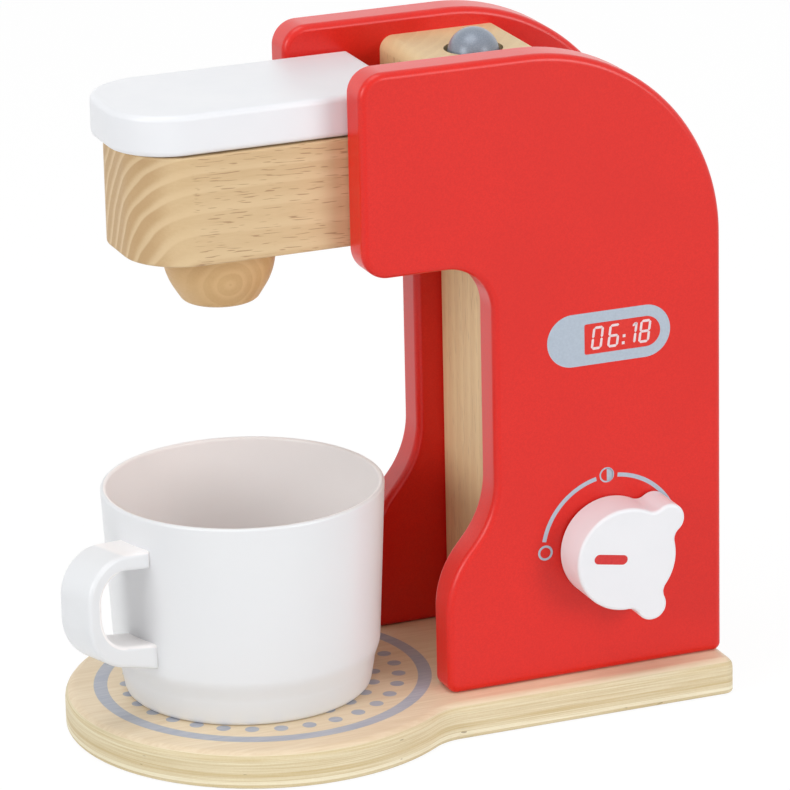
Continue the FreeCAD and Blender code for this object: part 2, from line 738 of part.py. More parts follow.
def is_neck(edge):
    """True for the four lines where a lobe meets the disc, and not for a seam."""
    if not runs_along(edge, X_AXIS):
        return False
    reach = math.hypot(middle_of(edge).y, middle_of(edge).z)
    angle = abs(math.degrees(math.atan2(middle_of(edge).z, middle_of(edge).y)))
    return abs(reach - value("knob_radius")) < SLACK and abs(angle - value("knob_lobe_angle")) < 30


def make_knob_axle():
    body = turned("knob_axle", [
        ("0", "0"),
        ("knob_axle_radius", "0"),
        ("knob_axle_radius", AXLE_LENGTH),
        ("0", AXLE_LENGTH),
    ])
    bore(body, "knob_screw_radius + glue_clearance", "knob_screw_length", "0", "0", "0", name="ScrewHole")
    place(body, AXLE_END, KNOB_Y, "knob_rise", Y_AXIS, "90")
    return body


def make_knob_washer():
    disc = doc.addObject("Part::Cylinder", "WasherDisc")
    hole = doc.addObject("Part::Cylinder", "WasherHole")
    bind(disc, Radius="knob_washer_radius", Height="knob_washer_thickness")
    bind(hole, Radius="knob_screw_radius + running_clearance", Height="knob_washer_thickness")
    washer = doc.addObject("Part::Cut", "knob_washer")
    washer.Base = disc
    washer.Tool = hole
    place(washer, AXLE_END + " - knob_washer_thickness", KNOB_Y, "knob_rise", Y_AXIS, "90")
    return washer


def make_knob_screw():
    head = "(knob_screw_head_height + knob_washer_thickness)"
    body = turned("knob_screw", [
        ("0", "-" + head),
        ("knob_screw_head_radius", "-" + head),
        ("knob_screw_head_radius", "-knob_washer_thickness"),
        ("knob_screw_radius", "-knob_washer_thickness"),
        ("knob_screw_radius", "knob_screw_length - bore_end_clearance - knob_washer_thickness"),
        ("0", "knob_screw_length - bore_end_clearance - knob_washer_thickness"),
    ])
    fillet(body, "knob_screw_head_height / 2",
           ring_edge(value("knob_screw_head_radius"),
                     -value("knob_screw_head_height") - value("knob_washer_thickness")), "HeadRound")
    place(body, AXLE_END, KNOB_Y, "knob_rise", Y_AXIS, "90")
    return body


# Cup: a thin shell on a stepped foot, with a flat strip bent into a handle
def make_cup():
    body = new_body("cup")
    outline = new_sketch(body, "XZ_Plane", "HalfOutline")
    polygon(outline, [
        ("0", "cup_foot_recess"),
        ("cup_foot_radius - cup_foot_ring", "cup_foot_recess"),
        ("cup_foot_radius - cup_foot_ring", "0"),
        ("cup_foot_radius", "0"),
        ("cup_foot_neck_radius", "cup_foot_height"),
        ("cup_body_radius", "cup_foot_height"),
        ("cup_rim_radius", "cup_height"),
        ("cup_rim_radius - cup_wall", "cup_height"),
        ("cup_body_radius - cup_wall", "cup_floor"),
        ("0", "cup_floor"),
    ])
    revolve(body, outline, "Shell")
    top = value("cup_height")
    rim, wall = value("cup_rim_radius"), value("cup_wall")
    inner = value("cup_body_radius") - wall
    fillet(body, "cup_inner_corner_radius", ring_edge(inner, value("cup_floor")), "InnerCorner")
    fillet(body, "cup_rim_edge_radius",
           lambda edge: ring_edge(rim, top)(edge) or ring_edge(rim - wall, top)(edge), "RimRounds")
    strip = new_sketch(body, "XZ_Plane", "HandleOutline")
    inside = "(handle_reach - handle_thickness)"
    top_root = "(cup_rim_radius - handle_root_sink)"
    low_root = "(cup_body_radius - cup_wall / 2)"
    polygon(strip, [
        (top_root, "handle_top_root"),
        ("handle_reach", "handle_top"),
        ("handle_reach", "handle_foot"),
        (low_root, "handle_foot_root"),
        (low_root, "handle_foot_root + handle_foot_root_depth"),
        (inside, "handle_foot + handle_foot_depth"),
        (inside, "handle_top - handle_thickness"),
        (top_root, "handle_top_root - handle_top_root_depth"),
    ])
    pad(body, strip, "handle_width", middle=True, name="Handle")
    reach = value("handle_reach")
    inside_x = reach - value("handle_thickness")
    middle_z = (value("handle_top") + value("handle_foot")) / 2

    def bend(x, upper):
        return lambda edge: (runs_along(edge, Y_AXIS) and abs(middle_of(edge).x - x) < SLACK
                             and (middle_of(edge).z > middle_z) == upper)

    fillet(body, "handle_upper_radius", bend(reach, True), "OuterUpperBend")
    fillet(body, "handle_upper_radius - handle_thickness", bend(inside_x, True), "InnerUpperBend")
    fillet(body, "handle_lower_radius", bend(reach, False), "OuterLowerBend")
    fillet(body, "handle_lower_radius - handle_thickness", bend(inside_x, False), "InnerLowerBend")
    half = value("handle_width") / 2
    fillet(body, "handle_edge_radius",
           lambda edge: isinstance(edge.Curve, (Part.Line, Part.Circle))
           and (level(edge, 1, half) or level(edge, 1, -half)), "StripEdges")
    place(body, "0", CUP_Y, "base_thickness", Z_AXIS, "cup_turn - 90")
    return body


def group(label, members):
    compound = doc.addObject("Part::Compound", label)
    compound.Links = members
    return compound


def dowel(x, y, z, axis, angle):
    peg = doc.addObject("Part::Cylinder", "Peg")
    bind(peg, Radius="dowel_radius", Height="dowel_length")
    place(peg, x, y, z, axis, angle)
    return peg


def make_side_dowels():
    pegs = []
    for y, z in dowel_places():
        pegs.append(dowel("panel_gap / 2 + dowel_seat - dowel_length", y, z, Y_AXIS, "90"))
        pegs.append(dowel("-panel_gap / 2 - dowel_seat", y, z, Y_AXIS, "90"))
    return group("side_dowels", pegs)


def make_head_dowels():
    start = BLOCK_FRONT + " - dowel_length / 2"
    return group("head_dowels", [dowel(x, start, z, X_AXIS, "-90") for x, z in head_dowel_places()])


def make_base_screws():
    screws = []
    for side, y in screw_places():
        head = doc.addObject("Part::Cone", "ScrewHead")
        bind(head, Radius1="screw_head_radius", Radius2="screw_radius", Height="screw_head_height")
        shank = doc.addObject("Part::Cylinder", "ScrewShank")
        bind(shank, Radius="screw_radius", Height="screw_length")
        screw = doc.addObject("Part::Fuse", "Screw")
        screw.Base = head
        screw.Tool = shank
        place(screw, "%d * %s" % (side, SCREW_X), y, "screw_head_sink")
        screws.append(screw)
    return group("base_screws", screws)


parts = [
    make_base(),
    make_panel("right_side_panel", 1),
    make_panel("left_side_panel", -1),
    make_column_block(),
    make_button_block(),
    make_head_block(),
    make_nozzle(),
    make_lid(),
    make_lid_hinge_rod(),
    make_button_ball(),
    make_button_stem(),
    make_button_cross_pin(),
    make_button_spring(),
    make_knob(),
    make_knob_axle(),
    make_knob_washer(),
    make_knob_screw(),
    make_cup(),
    make_side_dowels(),
    make_head_dowels(),
    make_base_screws(),
]
doc.recompute()

failed = [item.Name for item in doc.Objects if "Invalid" in item.State or "Error" in item.State]
if failed:
    raise RuntimeError("these did not rebuild: " + ", ".join(failed))
for item in parts:
    if item.Shape.isNull() or not item.Shape.isValid():
        raise RuntimeError("%s has no valid shape" % item.Label)

os.makedirs("parts", exist_ok=True)
for item in parts:
    item.Shape.exportStep("parts/" + item.Label + ".step")
    box = item.Shape.BoundBox
    print("%-18s solids %2d volume %9.1f  x %7.2f %7.2f  y %7.2f %7.2f  z %7.2f %7.2f" % (
        item.Label, len(item.Shape.Solids), item.Shape.Volume, box.XMin, box.XMax, box.YMin, box.YMax,
        box.ZMin, box.ZMax))
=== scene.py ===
# %% [markdown]
# # A wooden toy coffee maker
# The real object is a play-kitchen coffee maker: two red painted boards carry beech blocks between
# them, a white lid is hinged over the head, and a white cup stands on a plywood base with a printed ring.
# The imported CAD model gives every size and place, so the pieces below are built on its boxes.

# %% Load the frame and measure it
import math

import bmesh
import bpy
from mathutils import Matrix, Vector


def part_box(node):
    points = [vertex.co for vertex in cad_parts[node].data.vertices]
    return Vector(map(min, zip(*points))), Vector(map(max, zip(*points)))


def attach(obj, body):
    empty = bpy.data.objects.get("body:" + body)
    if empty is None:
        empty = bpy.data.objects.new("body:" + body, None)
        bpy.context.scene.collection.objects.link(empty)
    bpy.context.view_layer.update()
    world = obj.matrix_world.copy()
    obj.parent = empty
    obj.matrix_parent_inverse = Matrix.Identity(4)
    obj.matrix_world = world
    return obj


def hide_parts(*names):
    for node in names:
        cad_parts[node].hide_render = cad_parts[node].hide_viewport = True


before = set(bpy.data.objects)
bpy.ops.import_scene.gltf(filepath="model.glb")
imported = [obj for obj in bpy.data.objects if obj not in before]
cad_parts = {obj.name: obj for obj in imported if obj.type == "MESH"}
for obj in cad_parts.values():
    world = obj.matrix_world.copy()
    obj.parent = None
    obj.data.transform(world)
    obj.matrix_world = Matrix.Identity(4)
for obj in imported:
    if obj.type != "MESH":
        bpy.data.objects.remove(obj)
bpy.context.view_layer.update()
MM = 0.001
RIGHT = math.pi / 2


def size_of(node):
    low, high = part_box(node)
    return high - low


# %% [markdown]
# ## Places that several pieces share
# A joiner would mark these out once: the boards' faces, the ring's centre, the blocks' ends. They come
# from the boxes of the CAD nodes, so a change in the CAD model moves the looks with it.

# %% Shared places
base_low, base_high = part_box("base")
board_low, board_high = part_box("right_side_panel")
column_low, column_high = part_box("column_block")
block_low, block_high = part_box("button_block")
head_low, head_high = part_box("head_block")
nozzle_low, nozzle_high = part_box("nozzle")
lid_low, lid_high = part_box("lid")
ball_low, ball_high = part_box("button_ball")
axle_low, axle_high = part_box("knob_axle")
rod_low, rod_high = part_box("lid_hinge_rod")
cup_low, cup_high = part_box("cup")

TRAY_RADIUS = base_high.x
TRAY_Y = base_low.y + TRAY_RADIUS
TABLE_TOP = base_high.z
BOARD_FACE = board_high.x
NOZZLE_Y = (nozzle_low.y + nozzle_high.y) / 2
BALL_CENTRE = (ball_low + ball_high) / 2
KNOB_Y = (axle_low.y + axle_high.y) / 2
KNOB_Z = (axle_low.z + axle_high.z) / 2
HINGE_Y = (rod_low.y + rod_high.y) / 2
HINGE_Z = (rod_low.z + rod_high.z) / 2
CUP_FORWARD, RING_FORWARD = 4.8 * MM, 0.6 * MM  # from the tray's middle towards the front
LID_DROP = 0.8 * MM  # the lid and the head meet this much lower than in the CAD model
CUP_CENTRE = Vector((0, TRAY_Y - CUP_FORWARD, TABLE_TOP))
RING_Y = TRAY_Y - RING_FORWARD
LID_UNDERSIDE = lid_low.z - LID_DROP
HEAD_TOP = head_high.z - LID_DROP
print("tray radius %.1f mm, knob at y %.1f z %.1f mm" % (TRAY_RADIUS / MM, KNOB_Y / MM, KNOB_Z / MM))

# %% [markdown]
# ## Writing a finish
# Blender's materials are trees of nodes. A small class keeps each recipe short: `add` makes a node and
# joins whatever sockets it is given. All patterns run on object coordinates, which are the part's own
# metres, so the grain has its real size and stays with a piece that moves.

# %% A small helper for node trees
class Finish:
    def __init__(self, name):
        self.material = bpy.data.materials.new(name)
        self.material.use_nodes = True
        self.tree = self.material.node_tree
        self.shader = self.tree.nodes["Principled BSDF"]
        source = self.add("ShaderNodeTexCoord")
        self.place = source.outputs["Object"]
        self.facing = source.outputs["Normal"]

    def add(self, kind, sockets=None, **settings):
        node = self.tree.nodes.new(kind)
        for key, setting in settings.items():
            setattr(node, key, setting)
        for key, given in (sockets or {}).items():
            self.join(given, node.inputs[key])
        return node

    def join(self, given, socket):
        if isinstance(given, bpy.types.NodeSocket):
            self.tree.links.new(given, socket)
        else:
            socket.default_value = given

    def set(self, **sockets):
        for key, given in sockets.items():
            self.join(given, self.shader.inputs[key.replace("_", " ")])

    def math(self, operation, first, second=0.0):
        return self.add("ShaderNodeMath", {0: first, 1: second}, operation=operation).outputs[0]

    def stretched(self, x, y, z, shift=(0, 0, 0)):
        mapping = self.add("ShaderNodeMapping", {"Vector": self.place, "Scale": (x, y, z), "Location": shift})
        return mapping.outputs[0]

    def slipped(self, along, squeeze):
        """The place, squeezed along one axis, with each row slipped so that marks don't line up."""
        places = list(self.axes())
        first, second = [axis for axis in range(3) if axis != along]
        slip = self.math("ADD", self.math("MULTIPLY", places[first], 0.37),
                         self.math("MULTIPLY", places[second], 0.61))
        places[along] = self.math("ADD", self.math("MULTIPLY", places[along], squeeze), slip)
        return self.add("ShaderNodeCombineXYZ", dict(enumerate(places))).outputs[0]

    def noise(self, vector, scale, detail=2.0, roughness=0.5, distortion=0.0):
        node = self.add("ShaderNodeTexNoise", {
            "Vector": vector, "Scale": scale, "Detail": detail, "Roughness": roughness,
            "Distortion": distortion})
        return node.outputs[0]

    def band(self, value, low, high, to_low=0.0, to_high=1.0):
        """Map a stretch of a value smoothly onto another stretch."""
        node = self.add("ShaderNodeMapRange", {
            "Value": value, "From Min": low, "From Max": high, "To Min": to_low, "To Max": to_high},
            interpolation_type="SMOOTHSTEP")
        return node.outputs[0]

    def blend(self, share, first, second):
        node = self.add("ShaderNodeMix", data_type="RGBA")
        self.join(share, node.inputs[0])
        self.join(first, node.inputs[6])
        self.join(second, node.inputs[7])
        return node.outputs[2]

    def axes(self):
        split = self.add("ShaderNodeSeparateXYZ", {0: self.place})
        return split.outputs[0], split.outputs[1], split.outputs[2]

    def bump(self, height, depth, strength=1.0):
        node = self.add("ShaderNodeBump", {"Height": height, "Distance": depth, "Strength": strength})
        self.set(Normal=node.outputs[0])


def paint(red, green, blue):
    """A colour as the eye reads it on a screen, turned into the linear values that Blender wants."""
    linear = [((v / 255 + 0.055) / 1.055) ** 2.4 if v > 10 else v / 255 / 12.92 for v in (red, green, blue)]
    return (*linear, 1.0)


# %% [markdown]
# ## Red paint
# The boards are sprayed with a satin paint. Close up the film is not even: it has a very fine speckle
# where the fibres of the wood tell through, a slow mottle over several centimetres and a soft orange
# peel. The speckle and the mottle give the colour, the speckle the sheen too, and the speckle and the
# peel the bump.

# %% Red paint
def red_paint():
    finish = Finish("red_paint")
    speckle = finish.noise(finish.place, 2100.0, 3.0, 0.65)
    mottle = finish.noise(finish.place, 26.0, 2.0)
    peel = finish.noise(finish.place, 900.0, 2.0)
    tone = finish.blend(finish.band(speckle, 0.3, 0.72), paint(216, 25, 15), paint(227, 34, 20))
    tone = finish.blend(finish.band(mottle, 0.35, 0.7, 0.0, 0.35), tone, paint(212, 27, 16))
    finish.set(Base_Color=tone, Roughness=finish.band(speckle, 0.3, 0.72, 0.28, 0.34))
    finish.set(Specular_IOR_Level=0.4)
    height = finish.math("ADD", finish.math("MULTIPLY", speckle, 0.5), peel)
    finish.bump(height, 0.00005, 0.4)
    return finish.material


# %% [markdown]
# ## Beech
# Beech is pale and even. On end grain the years show as arcs: each starts with a thin pale line and
# darkens slowly. A side face hides the years and has flecks instead, short dark dashes along the grain.
# The years are the distance from a pith line outside the block, bent a little by noise. How squarely a
# face looks along the fibres decides which of the two marks it shows, as it does in a real block.

# %% Beech
def beech(name, along, pith, ring=4.2 * MM, light=(218, 191, 149), dark=(193, 158, 113), years=0.75,
          flecks=0.55):
    """along is the fibres' axis, pith a point of the two other axes, ring the width of a year; years
    and flecks say how strongly the two marks show."""
    finish = Finish(name)
    stretch = [1.0, 1.0, 1.0]
    stretch[along] = 0.1
    fibre = finish.stretched(*stretch)
    across = [axis for axis in range(3) if axis != along]
    places = finish.axes()
    facing = finish.add("ShaderNodeSeparateXYZ", {0: finish.facing}).outputs[along]
    facing = finish.math("ABSOLUTE", facing)
    end_grain = finish.band(facing, 0.35, 0.9)
    wander = finish.math("MULTIPLY", finish.math("SUBTRACT", finish.noise(fibre, 48.0, 2.0), 0.5), 5 * MM)
    sides = [finish.math("SUBTRACT", places[axis], centre) for axis, centre in zip(across, pith)]
    squares = [finish.math("POWER", side, 2.0) for side in sides]
    radius = finish.math("SQRT", finish.math("ADD", squares[0], squares[1]))
    year = finish.math("FRACT", finish.math("DIVIDE", finish.math("ADD", radius, wander), ring))
    growth = finish.math("MULTIPLY", finish.band(year, 0.0, 0.5), finish.band(year, 0.86, 1.0, 1.0, 0.0))
    strength = finish.band(end_grain, 0.0, 1.0, 0.4 * years, years)
    cloud = finish.noise(fibre, 60.0, 3.0, 0.6)
    fine = finish.noise(fibre, 1700.0, 3.0, 0.7)
    share = finish.math("ADD", finish.math("MULTIPLY", growth, strength), finish.math("MULTIPLY", cloud, 0.6))
    share = finish.math("ADD", share, finish.math("MULTIPLY", fine, 0.3))
    tone = finish.blend(finish.band(share, 0.3, 1.35), paint(*light), paint(*dark))
    dashes = finish.noise(finish.slipped(along, 0.1), 2300.0, 0.0)
    on_sides = finish.band(facing, 0.04, 0.22, flecks, 0.0)
    dashes = finish.math("MULTIPLY", finish.band(dashes, 0.65, 0.75), on_sides)
    tone = finish.blend(dashes, tone, paint(146, 100, 64))
    finish.set(Base_Color=tone, Roughness=finish.band(fine, 0.3, 0.7, 0.42, 0.54), Specular_IOR_Level=0.4)
    height = finish.math("SUBTRACT", fine, finish.math("MULTIPLY", dashes, 0.9))
    finish.bump(height, 0.00004, 0.6)
    return finish.material


# %% [markdown]
# ## Birch plywood
# A board of plywood shows one veneer on top and a stack of plies at its edge. Each ply has a colour of
# its own, long plies show streaks and cross plies a fine stipple, and thin glue lines part them. All of
# that is a matter of height in the board, so the edge pattern follows z, and the top veneer simply is
# the last slice. A sparse stretched noise leaves the few short dark marks that real edges have.

# %% Birch plywood
PLY = 1.17 * MM


def plywood():
    finish = Finish("plywood")
    x, y, z = finish.axes()
    slow = finish.noise(finish.stretched(1.0, 1.0, 0.2), 16.0, 2.0)
    lift = finish.math("MULTIPLY", finish.math("SUBTRACT", slow, 0.5), 0.25 * MM)
    layer = finish.math("DIVIDE", finish.math("ADD", z, lift), PLY)
    number = finish.math("FLOOR", layer)
    within = finish.math("FRACT", layer)
    per_ply = finish.add("ShaderNodeTexWhiteNoise", {"W": finish.math("ADD", number, 3.0)},
                         noise_dimensions="1D").outputs[0]
    streak = finish.noise(finish.stretched(0.012, 0.012, 1.0), 3400.0, 3.0, 0.6)
    stipple = finish.noise(finish.place, 1700.0, 2.0, 0.6)
    share = finish.math("ADD", finish.math("MULTIPLY", per_ply, 0.4), finish.math("MULTIPLY", streak, 0.8))
    share = finish.math("ADD", share, finish.math("MULTIPLY", stipple, 0.12))
    edge = finish.blend(finish.band(share, 0.25, 1.05), paint(245, 237, 210), paint(206, 185, 138))
    glue = finish.band(finish.math("ABSOLUTE", finish.math("SUBTRACT", within, 0.5)), 0.42, 0.5)
    edge = finish.blend(finish.math("MULTIPLY", glue, 0.4), edge, paint(204, 172, 120))
    mark = finish.band(finish.noise(finish.stretched(0.3, 0.3, 1.6, (0.4, 0.9, 0.2)), 620.0, 1.0), 0.76, 0.79)
    edge = finish.blend(finish.math("MULTIPLY", mark, 0.6), edge, paint(120, 92, 56))
    veneer = finish.noise(finish.stretched(1.0, 0.06, 1.0), 900.0, 4.0, 0.65, 0.2)
    cloud = finish.noise(finish.stretched(1.0, 0.3, 1.0), 60.0, 2.0)
    grain = finish.math("ADD", finish.math("MULTIPLY", veneer, 0.75), finish.math("MULTIPLY", cloud, 0.25))
    top = finish.blend(finish.band(grain, 0.32, 0.7), paint(237, 219, 190), paint(225, 203, 170))
    veneer_share = finish.band(z, TABLE_TOP - 1.1 * MM, TABLE_TOP - 0.8 * MM)
    finish.set(Base_Color=finish.blend(veneer_share, edge, top), Roughness=0.5, Specular_IOR_Level=0.35)
    height = finish.math("ADD", streak, finish.math("MULTIPLY", glue, -0.8))
    finish.bump(height, 0.00007, 0.6)
    return finish.material


# %% [markdown]
# ## White paint, grey paint, moulded plastic and steel
# White surfaces need texture too, or they read as computer plastic: the painted wood gets a soft brush
# lay and pores, and the cup the gentle waviness of a moulding. The ball is a grey paint with a slight
# metallic sheen. The hidden fasteners are zinc-plated steel with a fine turned grain.

# %% Pale finishes and steel
def white_paint():
    finish = Finish("white_paint")
    slow = finish.noise(finish.place, 60.0, 2.0)
    pores = finish.noise(finish.stretched(1.0, 0.2, 1.0), 1400.0, 2.0)
    finish.set(Base_Color=finish.blend(slow, paint(238, 239, 242), paint(232, 234, 238)))
    finish.set(Roughness=finish.band(pores, 0.3, 0.7, 0.3, 0.4), Specular_IOR_Level=0.45)
    finish.bump(finish.math("ADD", slow, finish.math("MULTIPLY", pores, 0.12)), 0.00012, 0.5)
    return finish.material


def grey_paint():
    finish = Finish("grey_paint")
    flakes = finish.noise(finish.place, 3200.0, 1.0)
    tone = finish.blend(finish.band(flakes, 0.35, 0.7), paint(120, 130, 144), paint(134, 143, 156))
    finish.set(Base_Color=tone, Metallic=0.15, Roughness=finish.band(flakes, 0.3, 0.7, 0.3, 0.38))
    finish.bump(flakes, 0.00002, 0.4)
    return finish.material


def moulded_white_painted_light():
    """The wall is thin and lets light through, and that light is painted into the colour: the side that faces
    the cup's axis is painted paler.
    """
    finish = Finish("moulded_white_painted_light")
    x, y, z = finish.axes()
    normal = finish.add("ShaderNodeSeparateXYZ", {0: finish.facing}).outputs
    outwards = finish.math("ADD", finish.math("MULTIPLY", normal[0], x),
                           finish.math("MULTIPLY", normal[1], finish.math("SUBTRACT", y, CUP_CENTRE.y)))
    # painted light: this mask picks the faces turned towards the cup's axis, which get the paler inside
    # colour
    outside = finish.band(outwards, -4 * MM, 4 * MM)
    wave = finish.noise(finish.place, 24.0, 1.0)
    haze = finish.noise(finish.place, 900.0, 2.0)
    outer = finish.blend(wave, paint(235, 237, 239), paint(230, 232, 235))
    # painted light: the inside colour is paler than the plastic itself, standing in for light that comes
    # through the wall
    inner = finish.blend(wave, paint(253, 250, 249), paint(250, 246, 245))
    finish.set(Base_Color=finish.blend(outside, inner, outer))
    finish.set(Roughness=finish.band(haze, 0.3, 0.7, 0.3, 0.33), Specular_IOR_Level=0.45)
    finish.bump(finish.math("ADD", wave, finish.math("MULTIPLY", haze, 0.02)), 0.0003, 0.2)
    return finish.material


def plated_steel():
    finish = Finish("plated_steel")
    turning = finish.noise(finish.stretched(0.1, 1.0, 1.0), 2500.0, 2.0)
    finish.set(Base_Color=paint(196, 196, 192), Metallic=1.0)
    finish.set(Roughness=finish.band(turning, 0.3, 0.7, 0.25, 0.4))
    finish.bump(turning, 0.00001, 0.4)
    return finish.material


# %% [markdown]
# ## Printing ink
# The clock panel, the dial and the ring on the base are screen printed. Ink is a film a few hundredths
# of a millimetre thick that takes the grain of what is under it, so it is matt, slightly uneven, and on
# the plywood the fibres break it up.

# %% Printing ink
def ink(name, first, second, roughness=0.5, grain=1600.0, stretch=1.0):
    finish = Finish(name)
    spots = finish.noise(finish.stretched(1.0, stretch, 1.0), grain, 3.0, 0.6)
    finish.set(Base_Color=finish.blend(finish.band(spots, 0.3, 0.72), paint(*first), paint(*second)))
    finish.set(Roughness=roughness, Specular_IOR_Level=0.35)
    finish.bump(spots, 0.00003, 0.5)
    return finish.material


# %% Make the finishes
RED = red_paint()
WHITE = white_paint()
GREY = grey_paint()
PLASTIC = moulded_white_painted_light()
STEEL = plated_steel()
PLYWOOD = plywood()
HEAD_BEECH = beech("beech_head", along=1, pith=(58 * MM, 118 * MM))
COLUMN_BEECH = beech("beech_column", along=2, pith=(60 * MM, -20 * MM), light=(238, 210, 164),
                     dark=(222, 186, 135), flecks=0.2)
BLOCK_BEECH = beech("beech_button_block", along=2, pith=(-70 * MM, -40 * MM), light=(226, 198, 152),
                    years=0.15)
TURNED_BEECH = beech("beech_turned", along=0, pith=(NOZZLE_Y - 2 * MM, 131 * MM), ring=3.4 * MM,
                     light=(212, 176, 126), dark=(186, 143, 90), years=0.28, flecks=0.15)
PEG_BEECH = beech("beech_pegs", along=0, pith=(0.0, 0.0))
PANEL_INK = ink("grey_blue_ink", (172, 184, 198), (180, 192, 205))
WINDOW_INK = ink("red_ink", (214, 40, 32), (222, 48, 38))
DIGIT_INK = ink("pale_ink", (226, 205, 208), (236, 218, 220))
RING_INK = ink("ring_ink", (168, 172, 184), (184, 186, 193), 0.55, 1100.0, 0.1)
DASH_INK = ink("dash_ink", (204, 44, 44), (212, 54, 52))
print("finishes:", len([m for m in bpy.data.materials if m.use_nodes]))

# %% [markdown]
# ## Outlines from corners
# Most pieces are boards sawn to an outline and rounded over. So the outline is a list of corners, each
# with the radius it is rounded by, and a few lines turn that into points along lines and arcs. A router
# then rounds the edges: each step of the cut is the same outline, moved in a little and up a little.

# %% Rounded outlines
def arc(centre, radius, start, end, steps):
    """Points on an arc, in turn from one angle to the other."""
    angles = [start + (end - start) * i / steps for i in range(steps + 1)]
    return [Vector((centre[0] + radius * math.cos(a), centre[1] + radius * math.sin(a))) for a in angles]


def rounded(corners, step=math.radians(3)):
    """The outline through (x, y, radius) corners, anticlockwise, with each corner rounded."""
    points = []
    for i, (x, y, radius) in enumerate(corners):
        here = Vector((x, y))
        back = (Vector(corners[i - 1][:2]) - here).normalized()
        ahead = (Vector(corners[(i + 1) % len(corners)][:2]) - here).normalized()
        if radius <= 0:
            points.append(here)
            continue
        half = back.angle(ahead) / 2
        centre = here + (back + ahead).normalized() * (radius / math.sin(half))
        first = here + back * (radius / math.tan(half)) - centre
        last = here + ahead * (radius / math.tan(half)) - centre
        start = math.atan2(first.y, first.x)
        sweep = math.atan2(first.cross(last), first.dot(last))
        steps = max(2, math.ceil(abs(sweep) / step))
        points += arc(centre, radius, start, start + sweep, steps)
    return points


def moved_in(outline, distance):
    """The outline moved inwards by a distance, square to its edges."""
    moved = []
    for i, here in enumerate(outline):
        before = (here - outline[i - 1]).normalized()
        after = (outline[(i + 1) % len(outline)] - here).normalized()
        mitre = Vector((-before.y - after.y, before.x + after.x)).normalized()
        share = max(0.3, mitre.dot(Vector((-after.y, after.x))))
        moved.append(here + mitre * (distance / share))
    return moved


# %% Boards, turned pieces and joints between them
def mesh_piece(name, rings):
    """A skin over rings of points, each as long as the next, with flat ends."""
    work = bmesh.new()
    rows = [[work.verts.new(point) for point in ring] for ring in rings]
    count = len(rows[0])
    for low, high in zip(rows, rows[1:]):
        for i in range(count):
            j = (i + 1) % count
            work.faces.new((low[i], low[j], high[j], high[i]))
    work.faces.new(rows[0][::-1])
    work.faces.new(rows[-1])
    bmesh.ops.recalc_face_normals(work, faces=work.faces)
    mesh = bpy.data.meshes.new(name)
    work.to_mesh(mesh)
    work.free()
    piece = bpy.data.objects.new(name, mesh)
    bpy.context.scene.collection.objects.link(piece)
    return piece


def board(name, outline, lay, low, high, low_round=0.0, high_round=0.0, steps=6):
    """An outline carried from low to high along its third axis, with rounded-over edges.
    lay turns (u, v, w) into a place in the frame."""
    levels = []
    if low_round > 0:
        turns = [RIGHT * i / steps for i in range(steps)]
        levels += [(low_round * (1 - math.sin(a)), low + low_round * (1 - math.cos(a))) for a in turns]
    levels.append((0.0, low + low_round))
    levels.append((0.0, high - high_round))
    if high_round > 0:
        turns = [RIGHT * i / steps for i in range(1, steps + 1)]
        levels += [(high_round * (1 - math.cos(a)), high - high_round * (1 - math.sin(a))) for a in turns]
    rings = [[lay(p.x, p.y, w) for p in moved_in(outline, inset)] for inset, w in levels]
    return mesh_piece(name, rings)


def lathe(name, profile, centre, lay=None, around=128):
    """A turned piece: (radius, height) points spun round an axis through the centre."""
    lay = lay or (lambda x, y, z: Vector((x, y, z)))
    rings = []
    for radius, height in profile:
        angles = [math.tau * i / around for i in range(around)]
        rings.append([centre + lay(radius * math.cos(a), radius * math.sin(a), height) for a in angles])
    return mesh_piece(name, rings)


def cut(piece, tool, operation="DIFFERENCE"):
    """Saw or drill one piece with another, and throw the tool away."""
    step = piece.modifiers.new(operation.lower(), "BOOLEAN")
    step.operation = operation
    step.solver = "EXACT"
    step.object = tool
    bpy.context.view_layer.update()
    done = bpy.data.meshes.new_from_object(piece.evaluated_get(bpy.context.evaluated_depsgraph_get()))
    piece.modifiers.clear()
    piece.data = done
    bpy.data.objects.remove(tool)
    return piece


def smooth(piece, angle=32):
    """Shade round stretches smooth, keep corners crisp and flats flat."""
    for face in piece.data.polygons:
        face.use_smooth = True
    piece.data.set_sharp_from_angle(angle=math.radians(angle))
    weighted = piece.modifiers.new("flat_faces_stay_flat", "WEIGHTED_NORMAL")
    weighted.keep_sharp = True
    weighted.weight = 80
    return piece


def place_on(piece, body, finish, node=None):
    """Give a piece its finish, let it ride on its body and stand for its CAD node."""
    piece.data.materials.clear()
    piece.data.materials.append(finish)
    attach(piece, body)
    if node:
        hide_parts(node)
    print("%-22s %6d points" % (piece.name, len(piece.data.vertices)))
    return piece


def across_x(u, v, w):
    return Vector((w, u, v))


def upright(u, v, w):
    return Vector((u, v, w))


# %% [markdown]
# ## The base
# A round tray runs into a narrower strip under the boards, with a soft neck between them. The tray, the
# neck and the strip are one outline: two arcs of the necks touch the tray's circle and the strip's
# sides, so their centre is worked out from both.

# %% The base
STRIP_HALF = 41.4 * MM
NECK = 14.0 * MM
BASE_ROUND = 3.0 * MM
BASE_LOWER_ROUND = 1.0 * MM
SCREW_HEAD, SCREW_SHANK = 3.85 * MM, 1.85 * MM


